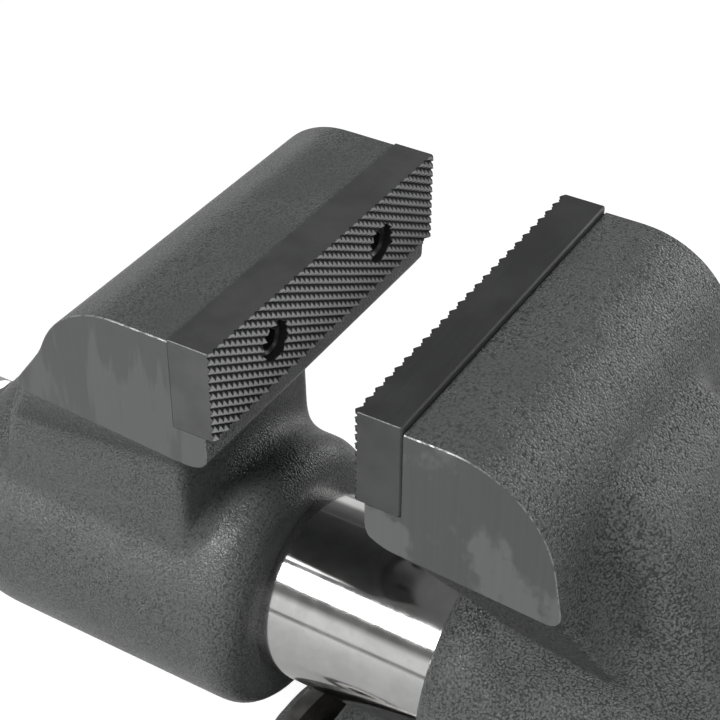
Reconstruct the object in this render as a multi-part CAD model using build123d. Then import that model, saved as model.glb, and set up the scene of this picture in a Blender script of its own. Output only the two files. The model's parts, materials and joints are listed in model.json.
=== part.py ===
"""A round-bar engineers vise on a swivel base, as separate pieces, in millimetres.

Frame: origin on the bench under the middle of the swivel base. +X runs along the slide bar
from the handle to the closed end of the barrel, +Z is up, and -Y is the near side.
The vise stands OPENING mm open, and its front jaw slides along X.
"""
from build123d import *
import os
from math import atan2, degrees, hypot, sqrt

# Jaws and their toothed inserts
JAW_WIDTH = 127.0
OPENING = 45.0
INSERT_HEIGHT = 31.0
INSERT_THICKNESS = 15.0
INSERT_EDGE = 0.5
TOOTH_DEPTH = 1.15
TOOTH_PITCH = 2.58
TOOTH_ANGLE = 30.0
INSERT_SCREW_SPACING = 61.0
INSERT_SCREW_DROP = 16.0
GRIP_X = -30.0

# Socket head cap screws of the inserts and of the guide key
SCREW_RADIUS = 4.0
SCREW_HEAD_RADIUS = 5.95
SCREW_HEAD_HEIGHT = 7.9
SCREW_SOCKET = 6.4
SCREW_LENGTH = 22.0
SCREW_RECESS = 1.6
COUNTERBORE_CLEARANCE = 0.9
HOLE_CLEARANCE = 0.3

# Slide bar, its axis and its keyway
BAR_RADIUS = 34.0
BAR_BORE_RADIUS = 25.0
BAR_LENGTH = 370.0
BAR_SOCKET_DEPTH = 72.0
BAR_CHAMFER = 1.5
DOWEL_RADIUS = 4.0
DOWEL_INSET = 3.0
THROAT = 108.0
AXIS_HEIGHT = 120.0
KEY_WIDTH = 16.0
KEY_DEPTH = 5.0
KEY_SEAT_DEPTH = 4.0
KEY_LENGTH = 66.0
KEYWAY_MARGIN = 12.0
KEY_WALL = 14.0
KEY_SCREW_RADIUS = 3.0
KEY_SCREW_LENGTH = 19.0
ACCESS_RADIUS = 9.0
WIPER_WIDTH = 5.0
WIPER_WALL = 4.0
WIPER_GAP = 0.3
BEARING_END_X = 90.0

# Front jaw casting, sizes measured back from its grip plane
FRONT_CROWN_DROP = 0.6
FRONT_CROWN_RADIUS = 30.0
FRONT_HEAD_DEPTH = 64.0
FRONT_HEEL = 22.0
FRONT_HAUNCH_DEPTH = 75.0
FRONT_HAUNCH_DROP = 38.5
FRONT_RING_SETBACK = 10.0
FRONT_NECK_BACK = 108.0
FRONT_WAIST = 72.0
FRONT_BARREL_END = 146.0
FRONT_NOSE_RADIUS = 31.0
NOSE_DOME = 34.0
NOSE_COLLAR = 6.0

# Rear jaw casting, sizes measured back from its grip plane
REAR_CROWN_DROP = 2.0
REAR_CROWN_RADIUS = 34.0
REAR_HEAD_DEPTH = 62.0
REAR_HEEL = 28.0
REAR_HAUNCH_DEPTH = 64.5
REAR_HAUNCH_DROP = 46.5
REAR_RING_SETBACK = 10.0
REAR_NECK_BACK = 76.0
BULLET_RADIUS = 57.0
BULLET_END_X = 286.0
BULLET_WALL = 12.0
BULLET_ROUND = 26.0
BULLET_SWELL = 40.0
CAP_RADIUS = 27.0
CAP_SEAT = 4.0
CAP_WALL = 1.6
CAP_DOME = 15.0
STEM_HALF_WIDTH = 40.0
STEM_HALF_LENGTH = 48.0
STEM_SHIFT = 39.0
STEM_ROUND = 26.0
STEM_WAIST = 80.0

# Both castings
TOE_SETBACK = 3.8
TOE_HEIGHT = 12.0
TOE_ROUND = 3.0
HUB_RADIUS = 50.0
HUB_ROUND = 11.0
NECK_HALF_WIDTH = 37.5
NECK_FLARE = 2.5
HAUNCH_ROUND = 2.0
NECK_SETBACK = 33.0
NECK_WAIST = 82.0
NECK_RUN = 8.0
SECTION_ROUND = 4.0
END_STOCK = 0.3
WEB_RUN = 58.0
WEB_TOP = 27.0
WEB_ROUND = 12.0

# Spindle, nut and thrust pieces
SPINDLE_RADIUS = 12.7
SPINDLE_LENGTH = 425.0
SPINDLE_HEAD_RADIUS = 24.5
SPINDLE_HEAD_LENGTH = 46.0
NUT_RADIUS = 22.5
NUT_THREAD_LENGTH = 70.0
NUT_FRONT_X = 12.0
NUT_FLANGE_RADIUS = 32.0
NUT_FLANGE_LENGTH = 8.0
NUT_RELIEF = 1.3
NUT_PLUG = 22.0
NUT_BOLT_RADIUS = 8.0
NUT_BOLT_GRIP = 18.0
NUT_BOLT_HEAD = 12.0
NUT_WASHER = 2.0
THRUST_RADIUS = 21.0
THRUST_WASHER = 2.0
THRUST_BEARING = 4.0
COLLAR_RADIUS = 20.0
COLLAR_LENGTH = 14.0
COLLAR_PIN_RADIUS = 3.0
COLLAR_GAP = 0.3
SPINDLE_HEAD_ROUND = 6.0
NOSE_WALL = 28.0

# Handle
HANDLE_RADIUS = 9.5
HANDLE_LENGTH = 320.0
HANDLE_KNOB_RADIUS = 14.0
HANDLE_KNOB_LENGTH = 26.0
HANDLE_RING_THICKNESS = 4.0
HANDLE_RING_WALL = 3.5
HANDLE_SOCKET = 18.0
HANDLE_CLEARANCE = 0.3
HANDLE_ANGLE = 35.0

# Swivel base, turntable flange and lock levers
BASE_RADIUS = 104.0
BASE_HEIGHT = 44.0
BASE_GAP = 0.2
BENCH_BOLT_CIRCLE = 236.0
BENCH_BOLT_COUNT = 4
BENCH_HOLE_RADIUS = 7.1
LUG_RADIUS = 19.0
LUG_HEIGHT = 18.0
LUG_ROUND = 3.0
BASE_TAPER = 4.0
BASE_ROUND = 3.0
BASE_RIM = 9.0
BASE_CORE = 3.0
BASE_RIB = 8.0
PIVOT_RADIUS = 22.0
PIVOT_BOTTOM = 16.0
SLOT_INSET = 20.0
SLOT_HALF_WIDTH = 6.8
SLOT_POCKET_HALF_WIDTH = 12.5
SLOT_LIP = 13.0
SLOT_POCKET_HEIGHT = 11.0
SLOT_ENTRY_RADIUS = 13.0
FLANGE_RADIUS = 74.0
FLANGE_HEIGHT = 15.0
FLANGE_ROUND = 3.0
EAR_RADIUS = 17.0
LOCK_BOLT_RADIUS = 6.0
LOCK_WASHER = 2.5
LOCK_HUB_RADIUS = 14.0
LOCK_HUB_HEIGHT = 24.0
LOCK_BOLT_SHOW = 6.0
LOCK_ROD_START = 2.0
LOCK_ROD_RADIUS = 5.0
LOCK_ROD_LENGTH = 88.0
LOCK_KNOB_RADIUS = 9.0
LOCK_ROD_RISE = 12.0
LOCK_ROD_TURN = 35.0

# Clearances
RUNNING = 0.05
SLIDING_FLAT = 0.25

# Worked out from the sizes above
SLOT_CIRCLE = BASE_RADIUS - SLOT_INSET
HALF_WIDTH = JAW_WIDTH / 2
AXIS_DROP = THROAT + BAR_RADIUS
JAW_TOP = AXIS_HEIGHT + AXIS_DROP
FRONT_GRIP_X = GRIP_X - OPENING
FRONT_RING_X = FRONT_GRIP_X - FRONT_RING_SETBACK
REAR_RING_X = GRIP_X + REAR_RING_SETBACK
BAR_FRONT_X = FRONT_RING_X - BAR_SOCKET_DEPTH
BAR_REAR_X = BAR_FRONT_X + BAR_LENGTH
BORE_RADIUS = BAR_RADIUS + RUNNING
WIPER_RADIUS = BAR_RADIUS + WIPER_WALL
KEY_X = REAR_RING_X + WIPER_WIDTH + 1 + KEY_LENGTH / 2
KEY_TOP = AXIS_HEIGHT - BAR_RADIUS + KEY_DEPTH
KEY_SEAT = AXIS_HEIGHT - BAR_RADIUS - KEY_SEAT_DEPTH
NOSE_FACE_X = FRONT_GRIP_X - FRONT_BARREL_END
NOSE_WALL_X = NOSE_FACE_X + NOSE_WALL
SPINDLE_SEAT_X = NOSE_FACE_X - 2 * THRUST_WASHER - THRUST_BEARING
SPINDLE_TIP_X = SPINDLE_SEAT_X + SPINDLE_LENGTH
SPINDLE_HOLE = SPINDLE_RADIUS + RUNNING
HANDLE_X = SPINDLE_SEAT_X - SPINDLE_HEAD_LENGTH / 2
BULLET_INNER_X = BULLET_END_X - BULLET_WALL
NUT_PLUG_X = BULLET_INNER_X - NUT_PLUG
BOLT_TIP_X = BULLET_INNER_X - NUT_BOLT_GRIP
FLANGE_BOTTOM = BASE_HEIGHT + BASE_GAP
FLANGE_TOP = FLANGE_BOTTOM + FLANGE_HEIGHT


def along_x(radius, start, end):
    """A cylinder on the bar's axis, from X = start to X = end."""
    middle = (start + end) / 2
    return Pos(middle, 0, AXIS_HEIGHT) * Rot(0, 90, 0) * Cylinder(radius, abs(end - start))


def neck_section(front, back, half_width, corner=SECTION_ROUND):
    """A flat rounded rectangle for a loft, between a front and a back (x, z) point."""
    run, rise = back[0] - front[0], back[1] - front[1]
    middle = Pos((front[0] + back[0]) / 2, 0, (front[1] + back[1]) / 2)
    shape = RectangleRounded(hypot(run, rise), 2 * half_width, corner)
    return middle * Rot(0, -degrees(atan2(rise, run)), 0) * shape


def as_front(solid):
    """A piece drawn behind a grip plane at X = 0, turned round and set on the front jaw."""
    return Pos(FRONT_GRIP_X, 0, JAW_TOP) * mirror(solid, about=Plane.YZ)


def as_rear(solid):
    """A piece drawn behind a grip plane at X = 0, set on the rear jaw."""
    return Pos(GRIP_X, 0, JAW_TOP) * solid


def screw_places():
    """Where the two insert screws stand, across the jaw and down from its top."""
    return [(side * INSERT_SCREW_SPACING / 2, -INSERT_SCREW_DROP) for side in (-1, 1)]


def tooth_rake(angle):
    """The V grooves of one direction, as one comb that cuts the grip face at X = 0."""
    reach = JAW_WIDTH
    count = int(reach / TOOTH_PITCH)
    points = []
    for index in range(-count, count + 1):
        across = index * TOOTH_PITCH
        points += [(0, across), (TOOTH_DEPTH, across + TOOTH_PITCH / 2)]
    points += [(0, (count + 1) * TOOTH_PITCH)]
    points += [(-TOOTH_DEPTH, (count + 1) * TOOTH_PITCH), (-TOOTH_DEPTH, -count * TOOTH_PITCH)]
    comb = extrude(make_face(Polyline(*points, close=True)), reach, both=True)
    return Rot(90 + angle, 0, 0) * comb


def jaw_insert():
    """A hardened insert behind a grip plane at X = 0: rhombic teeth and two counterbores."""
    block = Pos(INSERT_THICKNESS / 2, 0, -INSERT_HEIGHT / 2) * Box(
        INSERT_THICKNESS, JAW_WIDTH, INSERT_HEIGHT)
    back_edges = block.edges().filter_by_position(
        Axis.X, INSERT_THICKNESS - INSERT_EDGE, INSERT_THICKNESS + INSERT_EDGE)
    block = chamfer(back_edges, INSERT_EDGE)
    middle = Pos(0, 0, -INSERT_HEIGHT / 2)
    for angle in (TOOTH_ANGLE, -TOOTH_ANGLE):
        block -= middle * tooth_rake(angle)
    for y, z in screw_places():
        hole = Rot(0, 90, 0) * Cylinder(SCREW_RADIUS + HOLE_CLEARANCE, 3 * INSERT_THICKNESS)
        depth = SCREW_RECESS + SCREW_HEAD_HEIGHT + TOOTH_DEPTH
        counterbore = Pos(depth / 2, 0, 0) * Rot(0, 90, 0) * Cylinder(
            SCREW_HEAD_RADIUS + COUNTERBORE_CLEARANCE, depth)
        block -= Pos(0, y, z) * (hole + counterbore)
    return block


def cap_screw():
    """A socket head cap screw along +X, its head's seat at X = 0 and its tip at SCREW_LENGTH."""
    shank = Pos(SCREW_LENGTH / 2, 0, 0) * Rot(0, 90, 0) * Cylinder(SCREW_RADIUS, SCREW_LENGTH)
    head = Pos(-SCREW_HEAD_HEIGHT / 2, 0, 0) * Rot(0, 90, 0) * Cylinder(
        SCREW_HEAD_RADIUS, SCREW_HEAD_HEIGHT)
    socket = extrude(Plane.YZ.offset(-SCREW_HEAD_HEIGHT) * RegularPolygon(
        SCREW_SOCKET / 2, 6, major_radius=False), SCREW_HEAD_HEIGHT * 0.6)
    return shank + head - socket


def insert_screws():
    """The pair of screws of one insert, behind a grip plane at X = 0."""
    seat = SCREW_RECESS + SCREW_HEAD_HEIGHT + TOOTH_DEPTH
    return [Pos(seat, y, z) * cap_screw() for y, z in screw_places()]


def screw_holes():
    """The threaded holes of a casting for its insert's screws."""
    seat = SCREW_RECESS + SCREW_HEAD_HEIGHT + TOOTH_DEPTH
    length = seat + SCREW_LENGTH + 2 - INSERT_THICKNESS
    holes = Part()
    for y, z in screw_places():
        holes += Pos(INSERT_THICKNESS + length / 2, y, z) * Rot(0, 90, 0) * Cylinder(
            SCREW_RADIUS, length)
    return holes


def jaw_head(depth, crown_radius, drop, heel, haunch):
    """The crowned head of a casting: insert seat and ledge, toe, milled ends, sloped underside.

    The crown turns at the heel's drop into a slope that runs down to the haunch's (x, z) point.
    """
    ledge = -INSERT_HEIGHT
    crown = depth - crown_radius
    turn = crown + sqrt(crown_radius ** 2 - (heel - drop - crown_radius) ** 2)
    with BuildPart() as head:
        with BuildSketch(Plane.XZ):
            with BuildLine():
                Line((INSERT_THICKNESS, ledge), (INSERT_THICKNESS, -drop))
                Line((INSERT_THICKNESS, -drop), (crown, -drop))
                RadiusArc((crown, -drop), (turn, -heel), crown_radius)
                Line((turn, -heel), haunch)
                Line(haunch, (TOE_SETBACK + TOE_ROUND, ledge - TOE_HEIGHT))
                RadiusArc((TOE_SETBACK + TOE_ROUND, ledge - TOE_HEIGHT),
                          (TOE_SETBACK, ledge - TOE_HEIGHT + TOE_ROUND), TOE_ROUND)
                Line((TOE_SETBACK, ledge - TOE_HEIGHT + TOE_ROUND), (TOE_SETBACK, ledge))
                Line((TOE_SETBACK, ledge), (INSERT_THICKNESS, ledge))
            make_face()
        extrude(amount=HALF_WIDTH, both=True)
    return head.part


def haunched_neck(haunch, waist_front, waist_back, foot_back):
    """The neck below a head: it narrows from the milled ends to the waist, then runs to the axis."""
    toe = (TOE_SETBACK + TOE_ROUND, -INSERT_HEIGHT - TOE_HEIGHT)
    waist = neck_section(waist_front, waist_back, NECK_HALF_WIDTH)
    foot = neck_section(
        (NECK_SETBACK, -AXIS_DROP), (foot_back, -AXIS_DROP), NECK_HALF_WIDTH + NECK_FLARE)
    top = neck_section(toe, haunch, HALF_WIDTH - END_STOCK, HAUNCH_ROUND)
    return loft([top, waist], ruled=True) + loft([waist, foot], ruled=True)


def ring_turning(ring, radius, end, outline):
    """A barrel about the local X axis: rounded ring face, straight hub, then an end outline."""
    with BuildPart() as part:
        with BuildSketch(Plane.XZ):
            with BuildLine():
                Line((ring, 0), (ring, radius - HUB_ROUND))
                RadiusArc((ring, radius - HUB_ROUND), (ring + HUB_ROUND, radius), HUB_ROUND)
                outline(ring + HUB_ROUND, radius, end)
                Line((end, 0), (ring, 0))
            make_face()
        revolve(axis=Axis.X)
    return Pos(0, 0, -AXIS_DROP) * part.part


def nose_outline(start, radius, end):
    """The front barrel: straight, then domed down to the flat nose."""
    shoulder = end - NOSE_DOME
    collar = end - NOSE_COLLAR
    Line((start, radius), (shoulder, radius))
    Spline((shoulder, radius), (collar, FRONT_NOSE_RADIUS), tangents=((1, 0), (0.35, -1)))
    Line((collar, FRONT_NOSE_RADIUS), (end, FRONT_NOSE_RADIUS))
    Line((end, FRONT_NOSE_RADIUS), (end, 0))


def bullet_outline(start, radius, end):
    """The rear barrel: swelling from the hub to the bullet, and rounded at its closed end."""
    swell = NECK_SETBACK + BULLET_SWELL
    Line((start, radius), (NECK_SETBACK, radius))
    Spline((NECK_SETBACK, radius), (swell, BULLET_RADIUS), tangents=((1, 0), (1, 0)))
    Line((swell, BULLET_RADIUS), (end - BULLET_ROUND, BULLET_RADIUS))
    RadiusArc((end - BULLET_ROUND, BULLET_RADIUS), (end, BULLET_RADIUS - BULLET_ROUND), BULLET_ROUND)
    Line((end, BULLET_RADIUS - BULLET_ROUND), (end, 0))


def front_casting():
    """The moving jaw: head, haunched neck, barrel round the bar and nose for the spindle."""
    haunch = (FRONT_HAUNCH_DEPTH, -FRONT_HAUNCH_DROP)
    head = jaw_head(FRONT_HEAD_DEPTH, FRONT_CROWN_RADIUS, FRONT_CROWN_DROP, FRONT_HEEL, haunch)
    neck = haunched_neck(haunch, (NECK_SETBACK, -FRONT_WAIST), (FRONT_NECK_BACK, -NECK_WAIST),
                         FRONT_NECK_BACK + NECK_RUN)
    barrel = ring_turning(FRONT_RING_SETBACK, HUB_RADIUS, FRONT_BARREL_END, nose_outline)
    casting = as_front(head + neck + barrel - screw_holes())
    casting -= along_x(BAR_RADIUS, FRONT_RING_X, BAR_FRONT_X)
    casting -= along_x(BAR_BORE_RADIUS, BAR_FRONT_X, NOSE_WALL_X)
    casting -= along_x(SPINDLE_HOLE, NOSE_WALL_X, NOSE_FACE_X)
    return casting - dowel_pin()


def slide_bar():
    """The ground tube that carries the front jaw, with its keyway along the bottom."""
    bar = along_x(BAR_RADIUS, BAR_FRONT_X, BAR_REAR_X)
    bar = chamfer(bar.edges().sort_by(Axis.X)[-1], BAR_CHAMFER)
    bar -= along_x(BAR_BORE_RADIUS, BAR_FRONT_X, BAR_REAR_X)
    keyway_start = FRONT_RING_X + KEYWAY_MARGIN
    length = BAR_REAR_X - keyway_start
    depth = KEY_DEPTH + SLIDING_FLAT
    bar -= Pos(keyway_start + length / 2, 0, AXIS_HEIGHT - BAR_RADIUS + depth / 2) * Box(
        length, KEY_WIDTH + 2 * SLIDING_FLAT, 2 * depth)
    return bar - dowel_pin()


def dowel_pin():
    """The dowel that keeps the bar in the front barrel, driven up from below."""
    length = HUB_RADIUS - BAR_BORE_RADIUS - DOWEL_INSET
    top = AXIS_HEIGHT - BAR_BORE_RADIUS - DOWEL_INSET / 2
    return Pos(FRONT_RING_X - BAR_SOCKET_DEPTH / 2, 0, top - length / 2) * Cylinder(
        DOWEL_RADIUS, length)


def rear_casting():
    """The fixed jaw: head, web, the bullet that the bar slides in, and the turntable flange."""
    haunch = (REAR_HAUNCH_DEPTH, -REAR_HAUNCH_DROP)
    head = jaw_head(REAR_HEAD_DEPTH, REAR_CROWN_RADIUS, REAR_CROWN_DROP, REAR_HEEL, haunch)
    neck = haunched_neck(haunch, (NECK_SETBACK, -NECK_WAIST),
                         (REAR_NECK_BACK, -NECK_WAIST - NECK_RUN), REAR_NECK_BACK)
    barrel = ring_turning(REAR_RING_SETBACK, HUB_RADIUS, BULLET_END_X - GRIP_X, bullet_outline)
    casting = as_rear(head + rear_web() + neck + barrel - screw_holes())
    casting += pedestal()
    casting -= along_x(BORE_RADIUS, REAR_RING_X, BEARING_END_X + 1)
    casting -= along_x(BULLET_RADIUS - BULLET_WALL, BEARING_END_X, BULLET_INNER_X)
    casting -= along_x(WIPER_RADIUS, REAR_RING_X, REAR_RING_X + WIPER_WIDTH)
    casting -= along_x(NUT_BOLT_RADIUS + HOLE_CLEARANCE, BULLET_INNER_X, BULLET_END_X)
    casting -= along_x(CAP_RADIUS, BULLET_END_X - CAP_SEAT, BULLET_END_X)
    casting -= key_block()
    access_top = KEY_SEAT - KEY_WALL
    casting -= Pos(0, 0, KEY_SEAT - KEY_WALL / 2) * Cylinder(
        KEY_SCREW_RADIUS + HOLE_CLEARANCE, KEY_WALL)
    return casting - Pos(0, 0, access_top / 2) * Cylinder(ACCESS_RADIUS, access_top)


def rear_web():
    """The web behind the rear head, its ridge rounded and running down onto the bullet."""
    start, end = NECK_SETBACK, REAR_HEAD_DEPTH + WEB_RUN
    foot = -AXIS_DROP + BULLET_RADIUS / 2
    with BuildPart() as web:
        with BuildSketch(Plane.XZ):
            with BuildLine():
                Line((start, -AXIS_DROP), (start, -WEB_TOP))
                Line((start, -WEB_TOP), (REAR_HEAD_DEPTH - 4, -WEB_TOP))
                Spline((REAR_HEAD_DEPTH - 4, -WEB_TOP), (REAR_HEAD_DEPTH + 16, -WEB_TOP - 9),
                       (end, foot), tangents=((1, 0), (0.55, -1)))
                Line((end, foot), (end, -AXIS_DROP))
                Line((end, -AXIS_DROP), (start, -AXIS_DROP))
            make_face()
        extrude(amount=NECK_HALF_WIDTH, both=True)
        ridge = web.edges().filter_by(GeomType.BSPLINE)
        flat = web.edges().filter_by(Axis.X).group_by(Axis.Z)[-1]
        fillet(ridge + flat, WEB_ROUND)
    return web.part


def pedestal():
    """The foot under the fixed jaw: a stem, the turntable flange, two ears and a pivot."""
    stem_plan = RectangleRounded(2 * STEM_HALF_LENGTH, 2 * STEM_HALF_WIDTH, STEM_ROUND)
    foot = loft([
        Pos(0, 0, FLANGE_TOP - 3) * Circle(FLANGE_RADIUS - 10),
        Pos(STEM_SHIFT, 0, STEM_WAIST) * stem_plan,
    ], ruled=True)
    stem = Pos(STEM_SHIFT, 0, STEM_WAIST) * extrude(stem_plan, AXIS_HEIGHT - STEM_WAIST)
    middle = (FLANGE_BOTTOM + FLANGE_TOP) / 2
    flange = Cylinder(FLANGE_RADIUS, FLANGE_HEIGHT)
    for side in (-1, 1):
        ear = Pos(0, side * SLOT_CIRCLE, 0) * Cylinder(EAR_RADIUS, FLANGE_HEIGHT)
        flange += ear + Pos(0, side * SLOT_CIRCLE / 2, 0) * Box(2 * EAR_RADIUS, SLOT_CIRCLE, FLANGE_HEIGHT)
    top_edges = flange.edges().group_by(Axis.Z)[-1]
    flange = Pos(0, 0, middle) * fillet(top_edges, FLANGE_ROUND)
    for side in (-1, 1):
        flange -= Pos(0, side * SLOT_CIRCLE, middle) * Cylinder(
            LOCK_BOLT_RADIUS + HOLE_CLEARANCE, FLANGE_HEIGHT + 2)
    pivot_length = FLANGE_BOTTOM - PIVOT_BOTTOM
    pivot = Pos(0, 0, PIVOT_BOTTOM + pivot_length / 2) * Cylinder(PIVOT_RADIUS, pivot_length)
    return foot + stem + flange + pivot


def key_block():
    """The guide key in the bottom of the bearing bore."""
    height = KEY_TOP - KEY_SEAT
    return Pos(KEY_X, 0, KEY_SEAT + height / 2) * Box(KEY_LENGTH, KEY_WIDTH, height)


def guide_key():
    """The guide key, tapped for its screw over the swivel's pivot."""
    tapped = KEY_SCREW_LENGTH - KEY_WALL
    return key_block() - Pos(0, 0, KEY_SEAT + tapped / 2) * Cylinder(KEY_SCREW_RADIUS, tapped)


def key_screw():
    """The cap screw that holds the guide key, reached up through the hollow pivot."""
    head_height = 2 * KEY_SCREW_RADIUS
    seat = KEY_SEAT - KEY_WALL
    shank = Pos(0, 0, seat + KEY_SCREW_LENGTH / 2) * Cylinder(KEY_SCREW_RADIUS, KEY_SCREW_LENGTH)
    head = Pos(0, 0, seat - head_height / 2) * Cylinder(1.5 * KEY_SCREW_RADIUS, head_height)
    socket = Pos(0, 0, seat - head_height) * extrude(
        RegularPolygon(KEY_SCREW_RADIUS * 0.8, 6, major_radius=False), KEY_SCREW_RADIUS)
    return shank + head - socket


def bar_wiper():
    """The felt ring that wipes the bar at the mouth of the bearing."""
    start, end = REAR_RING_X, REAR_RING_X + WIPER_WIDTH
    return along_x(WIPER_RADIUS, start, end) - along_x(BAR_RADIUS + WIPER_GAP, start, end)


def spindle_nut():
    """The long nut inside the bar, closed at the rear where its bolt enters."""
    nut = along_x(NUT_RADIUS, NUT_FRONT_X, BULLET_INNER_X)
    nut += along_x(NUT_FLANGE_RADIUS, BULLET_INNER_X - NUT_FLANGE_LENGTH, BULLET_INNER_X)
    nut -= along_x(SPINDLE_HOLE, NUT_FRONT_X, NUT_FRONT_X + NUT_THREAD_LENGTH + 1)
    nut -= along_x(SPINDLE_RADIUS + NUT_RELIEF, NUT_FRONT_X + NUT_THREAD_LENGTH, NUT_PLUG_X)
    return nut - along_x(NUT_BOLT_RADIUS, BOLT_TIP_X, BULLET_INNER_X)


def nut_bolt():
    """The hexagon bolt that draws the nut against the rear wall."""
    seat = BULLET_END_X - CAP_SEAT + NUT_WASHER
    shank = along_x(NUT_BOLT_RADIUS, BOLT_TIP_X, seat)
    hexagon = RegularPolygon(NUT_BOLT_HEAD, 6, major_radius=False)
    head = Pos(seat, 0, AXIS_HEIGHT) * extrude(Plane.YZ * hexagon, NUT_BOLT_HEAD * 0.6)
    return shank + head


def nut_washer():
    """The washer under the nut bolt's head."""
    start = BULLET_END_X - CAP_SEAT
    end = start + NUT_WASHER
    return along_x(NUT_BOLT_HEAD + 2, start, end) - along_x(
        NUT_BOLT_RADIUS + HOLE_CLEARANCE, start, end)


def rear_cap():
    """The domed sheet cap pressed into the end of the bullet over the nut bolt."""
    start = BULLET_END_X - CAP_SEAT
    dome = cap_dome(CAP_RADIUS, CAP_DOME) - cap_dome(CAP_RADIUS - CAP_WALL, CAP_DOME - CAP_WALL)
    rim = along_x(CAP_RADIUS, start, BULLET_END_X) - along_x(
        CAP_RADIUS - CAP_WALL, start, BULLET_END_X)
    return dome + rim


def cap_dome(radius, rise):
    """A dome on the closed end of the bullet, cut from a ball."""
    ball_radius = (radius ** 2 + rise ** 2) / (2 * rise)
    centre = Pos(BULLET_END_X + rise - ball_radius, 0, AXIS_HEIGHT)
    ball = centre * Rot(0, 90, 0) * Sphere(ball_radius)
    return ball & along_x(radius, BULLET_END_X, BULLET_END_X + rise)


def thrust_ring(order, thickness):
    """A ring of the thrust stack; order counts the thickness already stacked on the nose."""
    start = NOSE_FACE_X - order
    return along_x(THRUST_RADIUS, start - thickness, start) - along_x(
        SPINDLE_RADIUS + HOLE_CLEARANCE, start - thickness, start)


def spindle():
    """The spindle: head with the handle's cross hole, and its threaded shank drawn plain."""
    head = along_x(SPINDLE_HEAD_RADIUS, SPINDLE_SEAT_X - SPINDLE_HEAD_LENGTH, SPINDLE_SEAT_X)
    head = fillet(head.edges().sort_by(Axis.X)[0], SPINDLE_HEAD_ROUND)
    head = chamfer(head.edges().sort_by(Axis.X)[-1], SPINDLE_HEAD_ROUND / 3)
    shank = along_x(SPINDLE_RADIUS, SPINDLE_SEAT_X, SPINDLE_TIP_X)
    shank = chamfer(shank.edges().sort_by(Axis.X)[-1], SPINDLE_RADIUS / 5)
    hole = along_handle(HANDLE_RADIUS + HANDLE_CLEARANCE, -2 * SPINDLE_HEAD_RADIUS,
                        2 * SPINDLE_HEAD_RADIUS)
    return head + shank - hole - collar_pin()


def spindle_collar():
    """The collar behind the nose wall that draws the jaw open."""
    end = NOSE_WALL_X + COLLAR_GAP + COLLAR_LENGTH
    ring = along_x(COLLAR_RADIUS, NOSE_WALL_X + COLLAR_GAP, end)
    return ring - along_x(SPINDLE_RADIUS, NOSE_WALL_X, end) - collar_pin()


def collar_pin():
    """The pin through the collar and the spindle."""
    middle = NOSE_WALL_X + COLLAR_GAP + COLLAR_LENGTH / 2
    return Pos(middle, 0, AXIS_HEIGHT) * Cylinder(COLLAR_PIN_RADIUS, 2 * COLLAR_RADIUS - 1)


def along_handle(radius, start, end):
    """A cylinder on the handle's axis, between two distances from the spindle's axis."""
    place = Pos(HANDLE_X, 0, AXIS_HEIGHT) * Rot(-90 - HANDLE_ANGLE, 0, 0)
    return place * Pos(0, 0, (start + end) / 2) * Cylinder(radius, end - start)


def handle_bar():
    """The round bar of the handle."""
    bar = along_handle(HANDLE_RADIUS, -HANDLE_LENGTH / 2, HANDLE_LENGTH / 2)
    return bar


def handle_knob(side):
    """A turned knob on one end of the handle: a collar that swells to a rounded end."""
    inner = HANDLE_LENGTH / 2 - HANDLE_SOCKET
    with BuildPart() as part:
        with BuildSketch(Plane.XZ):
            with BuildLine():
                Line((0, inner), (HANDLE_RADIUS + 2, inner))
                Spline((HANDLE_RADIUS + 2, inner), (HANDLE_KNOB_RADIUS, inner + HANDLE_KNOB_LENGTH * 0.6),
                       (0, inner + HANDLE_KNOB_LENGTH), tangents=((0.2, 1), (-1, 0)))
                Line((0, inner + HANDLE_KNOB_LENGTH), (0, inner))
            make_face()
        revolve(axis=Axis.Z)
    place = Pos(HANDLE_X, 0, AXIS_HEIGHT) * Rot(-90 - HANDLE_ANGLE, 0, 0)
    if side < 0:
        place = place * Rot(180, 0, 0)
    return place * part.part - handle_bar()


def handle_ring(side):
    """The rubber ring that softens the handle's stop against the spindle head."""
    outer = HANDLE_LENGTH / 2 - HANDLE_SOCKET
    inner = outer - HANDLE_RING_THICKNESS
    start, end = sorted((side * inner, side * outer))
    return along_handle(HANDLE_RADIUS + HANDLE_RING_WALL, start, end) - along_handle(
        HANDLE_RADIUS, start, end)


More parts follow.
